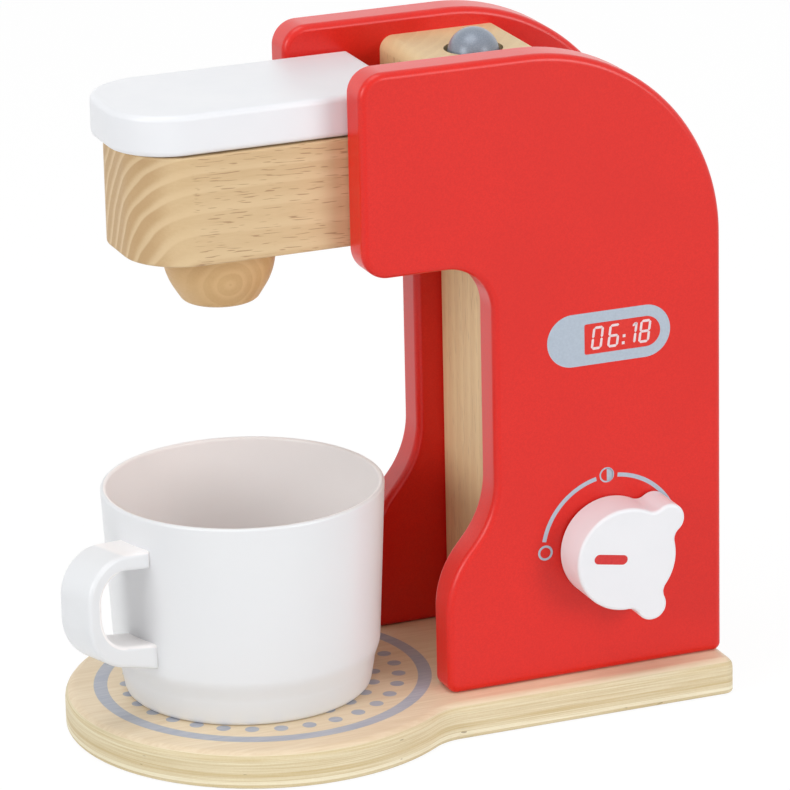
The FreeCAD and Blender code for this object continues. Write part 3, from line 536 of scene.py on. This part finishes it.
def base_outline():
    reach = math.sqrt((TRAY_RADIUS + NECK) ** 2 - (STRIP_HALF + NECK) ** 2)
    turn = math.atan2(reach, STRIP_HALF + NECK)
    right_neck = (STRIP_HALF + NECK, TRAY_Y + reach)
    left_neck = (-STRIP_HALF - NECK, TRAY_Y + reach)
    tray = arc((0, TRAY_Y), TRAY_RADIUS, -math.pi - turn, turn, 120)
    up_right = arc(right_neck, NECK, math.pi + turn, math.pi, 10)
    corners = arc((STRIP_HALF - BASE_ROUND, base_high.y - BASE_ROUND), BASE_ROUND, 0, RIGHT, 6)
    corners += arc((BASE_ROUND - STRIP_HALF, base_high.y - BASE_ROUND), BASE_ROUND, RIGHT, math.pi, 6)
    down_left = arc(left_neck, NECK, 0, -turn, 10)
    return tray[1:-1] + up_right + corners + down_left


def make_base():
    base = board("plywood_base", base_outline(), upright, base_low.z, TABLE_TOP, BASE_LOWER_ROUND, BASE_ROUND)
    screw_low, screw_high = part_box("base_screws")
    cone = [(SCREW_HEAD, -1 * MM), (SCREW_HEAD, 0.4 * MM), (SCREW_SHANK, 3.0 * MM)]
    for x in (screw_low.x + SCREW_HEAD, screw_high.x - SCREW_HEAD):
        for y in (screw_low.y + SCREW_HEAD, screw_high.y - SCREW_HEAD):
            cut(base, lathe("countersink", cone, Vector((x, y, 0)), around=48))
    return place_on(smooth(base), "machine", PLYWOOD, "base")


make_base()

# %% [markdown]
# ## The printed ring and its dots
# The tray shows where the cup belongs: a ring and two rows of dots. They are printed on the wood, so
# each is a thin film that lies on it. A row is one loop, because the dots are evenly spaced.

# %% The ring and the dots
FILM = 0.03 * MM
RING_OUTER, RING_INNER = 47.2 * MM, 43.4 * MM
OUTER_ROW, INNER_ROW, DOT = 38.0 * MM, 31.1 * MM, 3.9 * MM


def film(name, outlines, lay, level, finish, body):
    """Flat printed shapes, each a closed outline, joined into one piece."""
    work = bmesh.new()
    for outline in outlines:
        work.faces.new([work.verts.new(lay(p.x, p.y, level)) for p in outline])
    mesh = bpy.data.meshes.new(name)
    work.to_mesh(mesh)
    work.free()
    piece = bpy.data.objects.new(name, mesh)
    bpy.context.scene.collection.objects.link(piece)
    return place_on(piece, body, finish)


def strip_between(outer, inner):
    """The quads between two rings of points, as outlines for a film."""
    count = len(outer)
    return [[outer[i], outer[(i + 1) % count], inner[(i + 1) % count], inner[i]] for i in range(count)]


def full_circle(centre, radius, steps=96):
    return arc(centre, radius, 0, math.tau, steps)[:-1]


def dots(row_radius, count, turn, size):
    """A row of round dots, the first at the given turn."""
    angles = [turn + math.tau * i / count for i in range(count)]
    centres = [(row_radius * math.cos(a), RING_Y + row_radius * math.sin(a)) for a in angles]
    return [full_circle(centre, size / 2, 24) for centre in centres]


def make_ring():
    middle = (0, RING_Y)
    ring = strip_between(full_circle(middle, RING_OUTER, 160), full_circle(middle, RING_INNER, 160))
    film("printed_ring", ring, upright, TABLE_TOP + FILM, RING_INK, "machine")
    rows = dots(OUTER_ROW, 30, math.radians(-0.8), DOT) + dots(INNER_ROW, 24, 0.0, DOT)
    film("printed_dots", rows, upright, TABLE_TOP + FILM, RING_INK, "machine")


make_ring()

# %% [markdown]
# ## The two red boards
# Both boards have one outline: a hooked head over the cup, a slim column and a flared foot, with a big
# round crown at the back. Corners with radii describe it just as a template for the router would.

# %% The side boards
BOARD_FOOT_Y = board_high.y - 82.9 * MM
BOARD_COLUMN_Y = board_high.y - 68.1 * MM
BOARD_UNDERSIDE = 132.8 * MM
BOARD_ROUND = 2.0 * MM


def side_outline():
    return rounded([
        (board_high.y, board_low.z, 2.2 * MM),
        (board_high.y, board_high.z, 57 * MM),
        (board_low.y, board_high.z, 7 * MM),
        (board_low.y, BOARD_UNDERSIDE, 7.6 * MM),
        (BOARD_COLUMN_Y, BOARD_UNDERSIDE, 13.2 * MM),
        (BOARD_COLUMN_Y, 61 * MM, 27 * MM),
        (BOARD_FOOT_Y, 43 * MM, 27 * MM),
        (BOARD_FOOT_Y, board_low.z, 2.8 * MM),
    ], math.radians(2))


def make_side_board(node):
    low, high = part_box(node)
    piece = board(node.replace("_panel", "_board"), side_outline(), across_x, low.x, high.x, BOARD_ROUND,
                  BOARD_ROUND, 8)
    return place_on(smooth(piece, 40), "machine", RED, node)


for side_node in ("right_side_panel", "left_side_panel"):
    make_side_board(side_node)

# %% [markdown]
# ## The beech blocks
# Three blocks sit between the boards: the column, the block with the button, and the head with its
# round nose. The head has a round well for a coffee pad under the lid, so it is drilled after it is
# sawn, which is also how the real one is made.

# %% The column and the button block
COLUMN_ROUND = 1.5 * MM
BORE_RADIUS, BORE_FLOOR = 8.2 * MM, 162.5 * MM
STEM_BORE, STEM_SPARE = 4.08 * MM, 5.5 * MM


def make_column():
    outline = rounded([
        (column_high.x, column_low.y, COLUMN_ROUND),
        (column_high.x, column_high.y, COLUMN_ROUND),
        (column_low.x, column_high.y, COLUMN_ROUND),
        (column_low.x, column_low.y, COLUMN_ROUND),
    ], math.radians(6))
    piece = board("beech_column", outline, upright, column_low.z, column_high.z)
    return place_on(smooth(piece), "machine", COLUMN_BEECH, "column_block")


def make_button_block():
    outline = rounded([
        (block_low.y, block_low.z, 0),
        (block_high.y, block_low.z, 0),
        (block_high.y, block_high.z, 1.5 * MM),
        (block_low.y, block_high.z, 4 * MM),
    ], math.radians(6))
    piece = board("beech_button_block", outline, across_x, block_low.x, block_high.x)
    centre = Vector((0, BALL_CENTRE.y, 0))
    bore = [(BORE_RADIUS, BORE_FLOOR), (BORE_RADIUS, block_high.z + 5 * MM)]
    cut(piece, lathe("button_bore", bore, centre))
    stem_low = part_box("button_stem")[0].z
    bore = [(STEM_BORE, stem_low - STEM_SPARE), (STEM_BORE, 163 * MM)]
    cut(piece, lathe("stem_bore", bore, centre, around=64))
    return place_on(smooth(piece), "machine", BLOCK_BEECH, "button_block")


make_column()
make_button_block()


# %% The head and its nozzle
HEAD_NOSE, HEAD_ROUND = 17 * MM, 0.6 * MM
WELL_RADIUS, WELL_DEPTH = 17 * MM, 12 * MM


def make_head():
    outline = rounded([
        (head_high.x, head_low.y, HEAD_NOSE),
        (head_high.x, head_high.y, 0),
        (head_low.x, head_high.y, 0),
        (head_low.x, head_low.y, HEAD_NOSE),
    ])
    piece = board("beech_head", outline, upright, head_low.z, HEAD_TOP, HEAD_ROUND, HEAD_ROUND)
    well = [(WELL_RADIUS, head_high.z - WELL_DEPTH), (WELL_RADIUS, HEAD_TOP + 5 * MM)]
    cut(piece, lathe("pad_well", well, Vector((0, NOZZLE_Y, 0))))
    return place_on(smooth(piece), "machine", HEAD_BEECH, "head_block")


def make_nozzle():
    radius, drop = size_of("nozzle").x / 2, head_low.z - nozzle_low.z
    half_section = rounded([
        (0.01 * MM, -drop, 0),
        (10.2 * MM, -drop, 2.6 * MM),
        (radius, -8.4 * MM, 19 * MM),
        (radius, 0.0, 0),
    ], math.radians(2))
    piece = lathe("beech_nozzle", half_section, Vector((0, NOZZLE_Y, head_low.z)))
    return place_on(smooth(piece), "machine", TURNED_BEECH, "nozzle")


make_head()
make_nozzle()

# %% [markdown]
# ## The lid
# The lid is a painted board with the head's round nose, and its tail is rounded about the hinge so that
# it can lift without scraping. Those are two outlines, one seen from above and one from the side, so
# each is made as a board and the lid is what they have in common.

# %% The lid
LID_NOSE, LID_ROUND, TAIL_ROUND = 17.5 * MM, 1.8 * MM, 2.4 * MM
SPARE = 4 * MM  # how far a template or a saw reaches past the lid
HOLD = 8 * MM  # the template keeps clear of the nose by this much
ROD_BORE = 2.08 * MM


def make_lid():
    tail = lid_high.y
    plan = rounded([
        (lid_high.x, lid_low.y, LID_NOSE),
        (lid_high.x, tail + SPARE, 0),
        (lid_low.x, tail + SPARE, 0),
        (lid_low.x, lid_low.y, LID_NOSE),
    ])
    piece = board("white_lid", plan, upright, LID_UNDERSIDE, lid_high.z, LID_ROUND, LID_ROUND)
    under = (lid_high.z - lid_low.z) / 2
    side = rounded([
        (lid_low.y - SPARE, LID_UNDERSIDE - SPARE, 0),
        (lid_low.y + HOLD, LID_UNDERSIDE - SPARE, 0),
        (lid_low.y + HOLD, LID_UNDERSIDE, 0),
        (tail, LID_UNDERSIDE, under),
        (tail, lid_high.z, TAIL_ROUND),
        (lid_low.y + HOLD, lid_high.z, 0),
        (lid_low.y + HOLD, lid_high.z + SPARE, 0),
        (lid_low.y - SPARE, lid_high.z + SPARE, 0),
    ], math.radians(6))
    template = board("template", side, across_x, lid_low.x - SPARE, lid_high.x + SPARE)
    cut(piece, template, "INTERSECT")
    rod = lathe("rod_bore", [(ROD_BORE, -30 * MM), (ROD_BORE, 30 * MM)], Vector((0, HINGE_Y, HINGE_Z)),
                lambda x, y, z: Vector((z, x, y)), 48)
    cut(piece, rod)
    return place_on(smooth(piece), "lid", WHITE, "lid")


make_lid()

# %% [markdown]
# ## The button
# A turned ball sits in its bore. It is one profile spun round, open underneath where the stem enters.

# %% The ball
STEM_HOLE, BALL_RADIUS = 4.05, 7.2


def make_ball():
    radius = size_of("button_ball").x / 2
    middle = ball_high.z - radius
    start = math.acos(STEM_HOLE / BALL_RADIUS) * -1
    turns = [start + (RIGHT - start) * i / 40 for i in range(41)]
    profile = [(max(radius * math.cos(a), 1e-5), radius * math.sin(a)) for a in turns]
    piece = lathe("grey_ball", profile, Vector((0, BALL_CENTRE.y, middle)))
    return place_on(smooth(piece), "button", GREY, "button_ball")


make_ball()

# %% [markdown]
# ## The knob
# A thick disc with two small lobes to grip. Where a lobe meets the disc there is a little hollow round:
# its centre lies at known distances from both circles, so the angle comes from the law of cosines.

# %% The knob
KNOB_RADIUS = 14.8 * MM
LOBE = 4.4 * MM
LOBE_REACH = 16.3 * MM
LOBE_TURN = math.radians(50.2)
LOBE_NECK = 3.5 * MM
KNOB_TURN = math.radians(-13)
DASH_START, DASH_END, DASH_HALF, DASH_LEAN = -0.1 * MM, -10.1 * MM, 1.4 * MM, 0.06


def knob_outline():
    far, near = KNOB_RADIUS + LOBE_NECK, LOBE + LOBE_NECK
    swing = math.acos((far ** 2 + LOBE_REACH ** 2 - near ** 2) / (2 * far * LOBE_REACH))
    points = []
    for lobe_at in (-LOBE_TURN, LOBE_TURN):
        lobe = Vector((LOBE_REACH * math.cos(lobe_at), LOBE_REACH * math.sin(lobe_at)))
        first = Vector((far * math.cos(lobe_at - swing), far * math.sin(lobe_at - swing)))
        second = Vector((far * math.cos(lobe_at + swing), far * math.sin(lobe_at + swing)))
        towards_first = lobe - first
        towards_second = lobe - second
        start = lobe_at - swing + math.pi
        end = math.atan2(towards_first.y, towards_first.x)
        points += arc(first, LOBE_NECK, start, start + wrapped(end - start), 8)
        start = math.atan2(-towards_first.y, -towards_first.x)
        end = math.atan2(-towards_second.y, -towards_second.x)
        points += arc(lobe, LOBE, start, start + (end - start) % math.tau, 24)[1:]
        start = math.atan2(towards_second.y, towards_second.x)
        end = lobe_at + swing + math.pi
        points += arc(second, LOBE_NECK, start, start + wrapped(end - start), 8)[1:]
        if lobe_at < 0:
            points += arc((0, 0), KNOB_RADIUS, lobe_at + swing, LOBE_TURN - swing, 30)[1:-1]
        else:
            points += arc((0, 0), KNOB_RADIUS, lobe_at + swing, math.tau - LOBE_TURN - swing, 90)[1:-1]
    return points


def wrapped(angle):
    """The same turn, taken the short way round."""
    return (angle + math.pi) % math.tau - math.pi


def on_knob(u, v, w):
    """A place on the knob, which stands turned on its axle."""
    y = u * math.cos(KNOB_TURN) - v * math.sin(KNOB_TURN)
    z = u * math.sin(KNOB_TURN) + v * math.cos(KNOB_TURN)
    return Vector((w, KNOB_Y + y, KNOB_Z + z))


def make_knob():
    low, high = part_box("knob")
    piece = board("white_knob", knob_outline(), on_knob, low.x, high.x, 0.3 * MM, 1.0 * MM)
    return place_on(smooth(piece, 40), "knob", WHITE, "knob")


def make_knob_dash():
    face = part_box("knob")[1].x + FILM
    dash = arc((DASH_START - DASH_HALF, 0), DASH_HALF, -RIGHT, RIGHT, 12)
    dash += arc((DASH_END + DASH_HALF, 0), DASH_HALF, RIGHT, 3 * RIGHT, 12)
    dash = [Vector((p.x, p.y + DASH_LEAN * p.x)) for p in dash]
    return film("knob_dash", [dash], on_knob, face, DASH_INK, "knob")


make_knob()
make_knob_dash()

# %% [markdown]
# ## The dial
# Printed round the knob: two arcs, an empty circle where it starts and a half-filled one at the top.
# An arc with a width is the strip between two arcs.

# %% The dial
DIAL_Y, DIAL_Z = 56.0 * MM, 47.2 * MM
DIAL_RADIUS = 20.5 * MM
DIAL_LINE = 1.2 * MM
MARK = 2.2 * MM
FIRST_ARC, SECOND_ARC = (102, 169), (11, 84)  # degrees, from the board's rear round over the top


def on_board(u, v, w):
    return Vector((w, DIAL_Y + u, DIAL_Z + v))


def arc_strip(radius, width, start, end, steps=48):
    outer = arc((0, 0), radius + width / 2, math.radians(start), math.radians(end), steps)
    inner = arc((0, 0), radius - width / 2, math.radians(start), math.radians(end), steps)
    return [[outer[i], outer[i + 1], inner[i + 1], inner[i]] for i in range(steps)]


def circle_line(centre, radius, width):
    return strip_between(full_circle(centre, radius, 48), full_circle(centre, radius - width, 48))


def make_dial():
    level = BOARD_FACE + FILM
    shapes = arc_strip(DIAL_RADIUS, DIAL_LINE, *FIRST_ARC) + arc_strip(DIAL_RADIUS, DIAL_LINE, *SECOND_ARC)
    start = (-19.8 * MM, 0.7 * MM)
    top = (-1.1 * MM, 20.8 * MM)
    shapes += circle_line(start, MARK, 0.65 * MM)
    shapes += circle_line(top, MARK, 0.45 * MM)
    shapes.append(arc(top, MARK - 0.3 * MM, -RIGHT, RIGHT, 24))
    return film("printed_dial", shapes, on_board, level, PANEL_INK, "machine")


make_dial()

# %% [markdown]
# ## The clock
# A clock panel with a red window and slanted segment digits. Each digit is the usual seven strokes,
# plus a short hook for the 1, so 06:18 is four short lists of strokes and a colon.

# %% The clock
CLOCK_Y, CLOCK_Z = DIAL_Y - 0.1 * MM, 108.1 * MM
CLOCK_LONG, CLOCK_TALL = 36.8 * MM, 15.0 * MM
DIGIT_TALL, DIGIT_WIDE, STROKE = 6.6 * MM, 3.3 * MM, 0.72 * MM
SLANT = math.tan(math.radians(8))
STROKES = {"0": "abcdef", "6": "acdefg", "1": "bch", "8": "abcdefg"}


def on_clock(u, v, w):
    return Vector((w, CLOCK_Y + u, CLOCK_Z + v))


def stroke(start, end):
    """One stroke with pointed ends, leaning with the digit."""
    run = (end - start).normalized()
    side = Vector((-run.y, run.x)) * STROKE / 2
    gap = run * (0.04 * MM)
    tip = run * (STROKE / 2)
    a, b = start + gap, end - gap
    points = [a, a + tip - side, b - tip - side, b, b - tip + side, a + tip + side]
    return [Vector((p.x + p.y * SLANT, p.y)) for p in points]


def digit(figure, left):
    low, high, middle = -DIGIT_TALL / 2 + STROKE / 2, DIGIT_TALL / 2 - STROKE / 2, 0.0
    x0, x1 = left + STROKE / 2, left + DIGIT_WIDE - STROKE / 2
    lines = {
        "a": ((x0, high), (x1, high)), "b": ((x1, middle), (x1, high)), "c": ((x1, low), (x1, middle)),
        "d": ((x0, low), (x1, low)), "e": ((x0, low), (x0, middle)), "f": ((x0, middle), (x0, high)),
        "g": ((x0, middle), (x1, middle)), "h": ((x1 - 1.1 * MM, high - 1.1 * MM), (x1, high)),
    }
    return [stroke(Vector(lines[name][0]), Vector(lines[name][1])) for name in STROKES[figure]]


def make_clock():
    half = CLOCK_TALL / 2
    end = CLOCK_LONG / 2 - half
    panel = arc((end, 0), half, -RIGHT, RIGHT, 40) + arc((-end, 0), half, RIGHT, 3 * RIGHT, 40)
    film("clock_panel", [panel], on_clock, BOARD_FACE + FILM, PANEL_INK, "machine")
    left, right, tall = -7.3 * MM, 15.4 * MM, 8.7 * MM
    window = arc((right - tall / 2, -0.1 * MM), tall / 2, -RIGHT, RIGHT, 32)
    window += arc((left + 0.6 * MM, tall / 2 - 0.7 * MM), 0.6 * MM, RIGHT, 2 * RIGHT, 6)
    window += arc((left + 0.6 * MM, -tall / 2 + 0.5 * MM), 0.6 * MM, 2 * RIGHT, 3 * RIGHT, 6)
    film("clock_window", [window], on_clock, BOARD_FACE + 2 * FILM, WINDOW_INK, "machine")
    starts = [-5.1 * MM, -0.2 * MM, 5.0 * MM, 9.1 * MM]
    shapes = []
    for figure, start in zip("0618", starts):
        shapes += digit(figure, start)
    dot = 0.42 * MM
    for height in (-2.5 * MM, -0.5 * MM):
        centre = (4.6 * MM + height * SLANT, height)
        shapes.append([Vector((centre[0] + x, centre[1] + y)) for x, y in
                       ((-dot, -dot), (dot, -dot), (dot, dot), (-dot, dot))])
    film("clock_digits", shapes, on_clock, BOARD_FACE + 3 * FILM, DIGIT_INK, "machine")


make_clock()

# %% [markdown]
# ## The cup
# A thin wall that swells softly out of a narrower foot, moulded in one go with a strap handle. The wall
# is one profile spun round. The handle is a strap bent in a side view, so it is a board again, standing
# in the plane through the cup's axis, with its roots let into the wall.

# %% The cup
CUP_TURN = math.radians(19 - 90)
CUP_TALL = cup_high.z - cup_low.z
RIM, WAIST, WALL = 39.3 * MM, 37.1 * MM, 1.8 * MM
FOOT, FOOT_TOP, FOOT_TALL = 34.2 * MM, 35.3 * MM, 6.5 * MM
STEP_TALL = 7.5 * MM
CUP_FLOOR, FOOT_RING, FOOT_HOLLOW = 11.4 * MM, 3.0 * MM, 8.8 * MM


def cup_profile():
    rim_round = WALL / 2 * 0.9
    corner = 6.0 * MM
    hollow = FOOT - FOOT_RING
    outside = [(1e-5, FOOT_HOLLOW), (hollow - 1 * MM, FOOT_HOLLOW), (hollow, FOOT_HOLLOW - 1 * MM)]
    outside += [(hollow, 0.4 * MM), (hollow + 0.4 * MM, 0.0), (FOOT - 1.2 * MM, 0.0)]
    outside += [(FOOT - 0.6 * MM, 0.2 * MM), (FOOT - 0.1 * MM, 0.7 * MM), (FOOT + 0.2 * MM, 1.5 * MM)]
    swell = [i / 12 for i in range(13)]
    outside += [(FOOT_TOP + (WAIST - FOOT_TOP) * t * t * (3 - 2 * t), FOOT_TALL + STEP_TALL * t)
                for t in swell]
    turns = [math.pi * i / 10 for i in range(11)]
    crown = [(RIM - WALL / 2 + rim_round * math.cos(a), CUP_TALL - rim_round + rim_round * math.sin(a))
             for a in turns]
    inner = WAIST - WALL
    turns = [RIGHT * i / 10 for i in range(11)]
    bowl = [(inner - corner + corner * math.cos(a), CUP_FLOOR + corner - corner * math.sin(a)) for a in turns]
    return outside + crown + bowl + [(1e-5, CUP_FLOOR)]


def on_cup(u, v, w):
    """u outwards along the handle, v up, w across the strap."""
    x = u * math.cos(CUP_TURN) - w * math.sin(CUP_TURN)
    y = u * math.sin(CUP_TURN) + w * math.cos(CUP_TURN)
    return CUP_CENTRE + Vector((x, y, v))


def make_cup():
    shell = lathe("cup_shell", cup_profile(), CUP_CENTRE, around=192)
    place_on(smooth(shell, 50), "cup", PLASTIC, "cup")
    reach, strap, wide = 59.4 * MM, 4.6 * MM, 13.6 * MM
    upper, lower = 12 * MM, 15 * MM
    root = RIM - 1.4 * MM
    low_root = WAIST - WALL / 2
    outline = rounded([
        (root, 50 * MM, 0),
        (root, 44.7 * MM, 0),
        (reach - strap, 47.4 * MM, upper - strap),
        (reach - strap, 25.8 * MM, lower - strap),
        (low_root, 22.4 * MM, 0),
        (low_root, 14.9 * MM, 0),
        (reach, 22 * MM, lower),
        (reach, 52 * MM, upper),
    ], math.radians(4))
    handle = board("cup_handle", outline, on_cup, -wide / 2, wide / 2, 1.3 * MM, 1.3 * MM)
    place_on(smooth(handle, 50), "cup", PLASTIC)


make_cup()

# %% [markdown]
# ## Hidden pieces
# Pegs, pins and screws are right as the CAD model has them. They show when the lid is up or the part is
# turned over, so they only get their finish.

# %% Finish the pieces that stay as they are
STAY = {
    "lid_hinge_rod": STEEL, "button_cross_pin": STEEL, "button_spring": STEEL, "knob_washer": STEEL,
    "knob_screw": STEEL, "base_screws": STEEL, "button_stem": TURNED_BEECH, "knob_axle": PEG_BEECH,
    "side_dowels": PEG_BEECH, "head_dowels": PEG_BEECH,
}
for node_name, node_finish in STAY.items():
    mesh_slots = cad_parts[node_name].data.materials
    mesh_slots.clear()
    mesh_slots.append(node_finish)
print("kept as they are:", len(STAY))

# %% [markdown]
# ## The camera
# A long lens from the right front, a little above the lid, as the object was photographed. The numbers
# are a bearing, a height and a distance, so the view can be read without any matrices.

# %% The camera
BEARING = math.radians(68.61)
HEIGHT = math.radians(18.39)
TILT = math.radians(-1.27)
DISTANCE = 1486.9 * MM
AIM = Vector((0, 5.96 * MM, 87.98 * MM))
FOCAL = 244.24


def make_camera():
    back = Vector((math.sin(BEARING) * math.cos(HEIGHT), -math.cos(BEARING) * math.cos(HEIGHT),
                   math.sin(HEIGHT)))
    level = Vector((math.cos(BEARING), math.sin(BEARING), 0))
    above = back.cross(level)
    right = level * math.cos(TILT) + above * math.sin(TILT)
    up = above * math.cos(TILT) - level * math.sin(TILT)
    data = bpy.data.cameras.new("camera")
    data.lens = FOCAL
    data.sensor_width = 36.0
    data.clip_end = 20.0
    camera = bpy.data.objects.new("camera", data)
    bpy.context.scene.collection.objects.link(camera)
    turn = Matrix((right, up, back)).transposed().to_4x4()
    camera.matrix_world = Matrix.Translation(AIM + back * DISTANCE) @ turn
    bpy.context.scene.camera = camera


make_camera()

# %% [markdown]
# ## The studio
# A white table and a white room. The camera sees the room as pure white, while the light it gives is
# softer, and the paint mirrors it a little brighter, as a shiny film does. Three large lamps shape the
# object: one above, one at the front and one at the right, a little behind.

# %% The floor and the room
LAMP_AIM = Vector((0, 0, 0.09))


def make_floor():
    size = 4.0
    corners = [(-size, -size, 0), (size, -size, 0), (size, size, 0), (-size, size, 0)]
    mesh = bpy.data.meshes.new("floor")
    mesh.from_pydata([Vector(c) for c in corners], [], [(0, 1, 2, 3)])
    floor = bpy.data.objects.new("floor", mesh)
    bpy.context.scene.collection.objects.link(floor)
    floor.location.z = -0.0002
    finish = Finish("floor_white")
    finish.set(Base_Color=(0.86, 0.86, 0.86, 1), Roughness=0.6, Specular_IOR_Level=0.2)
    grain = finish.noise(finish.place, 120.0, 2.0)
    finish.bump(grain, 0.00004, 0.2)
    rays = finish.add("ShaderNodeLightPath").outputs
    seen = finish.math("MAXIMUM", rays["Is Camera Ray"], rays["Is Glossy Ray"])
    glow = finish.add("ShaderNodeEmission", {"Color": (1, 1, 1, 1), "Strength": 1.05})
    mixed = finish.add("ShaderNodeMixShader", {0: finish.math("MULTIPLY", seen, 0.88)})
    finish.join(finish.shader.outputs[0], mixed.inputs[1])
    finish.join(glow.outputs[0], mixed.inputs[2])
    finish.join(mixed.outputs[0], finish.tree.nodes["Material Output"].inputs["Surface"])
    mesh.materials.append(finish.material)


def make_room(strength, shine):
    """A white room: pure white to the camera, softer as a light, and brighter where it is mirrored."""
    world = bpy.data.worlds.new("white_room")
    world.use_nodes = True
    bpy.context.scene.world = world
    tree = world.node_tree
    background = tree.nodes["Background"]
    background.inputs["Color"].default_value = (1, 1, 1, 1)
    rays = tree.nodes.new("ShaderNodeLightPath")
    level = strength
    for ray, seen_level in (("Is Glossy Ray", shine), ("Is Camera Ray", 1.0), ("Is Transmission Ray", 1.0)):
        choice = tree.nodes.new("ShaderNodeMapRange")
        tree.links.new(rays.outputs[ray], choice.inputs["Value"])
        choice.inputs["To Max"].default_value = seen_level
        if isinstance(level, float):
            choice.inputs["To Min"].default_value = level
        else:
            tree.links.new(level, choice.inputs["To Min"])
        level = choice.outputs[0]
    tree.links.new(level, background.inputs["Strength"])


def lamp(name, place, power, size):
    data = bpy.data.lights.new(name, "AREA")
    data.shape = "DISK"
    data.size = size
    data.energy = power
    light = bpy.data.objects.new(name, data)
    bpy.context.scene.collection.objects.link(light)
    light.location = place
    light.rotation_mode = "QUATERNION"
    light.rotation_quaternion = (LAMP_AIM - Vector(place)).to_track_quat("-Z", "Y")


make_floor()
make_room(0.37, 1.4)
lamp("above", (0.15, -0.25, 1.3), 5.6, 0.9)
lamp("front", (0.5, -1.3, 0.6), 6.8, 0.7)
lamp("side", (1.35, 0.85, 0.5), 9.6, 0.8)
bpy.context.scene.view_settings.view_transform = "Standard"
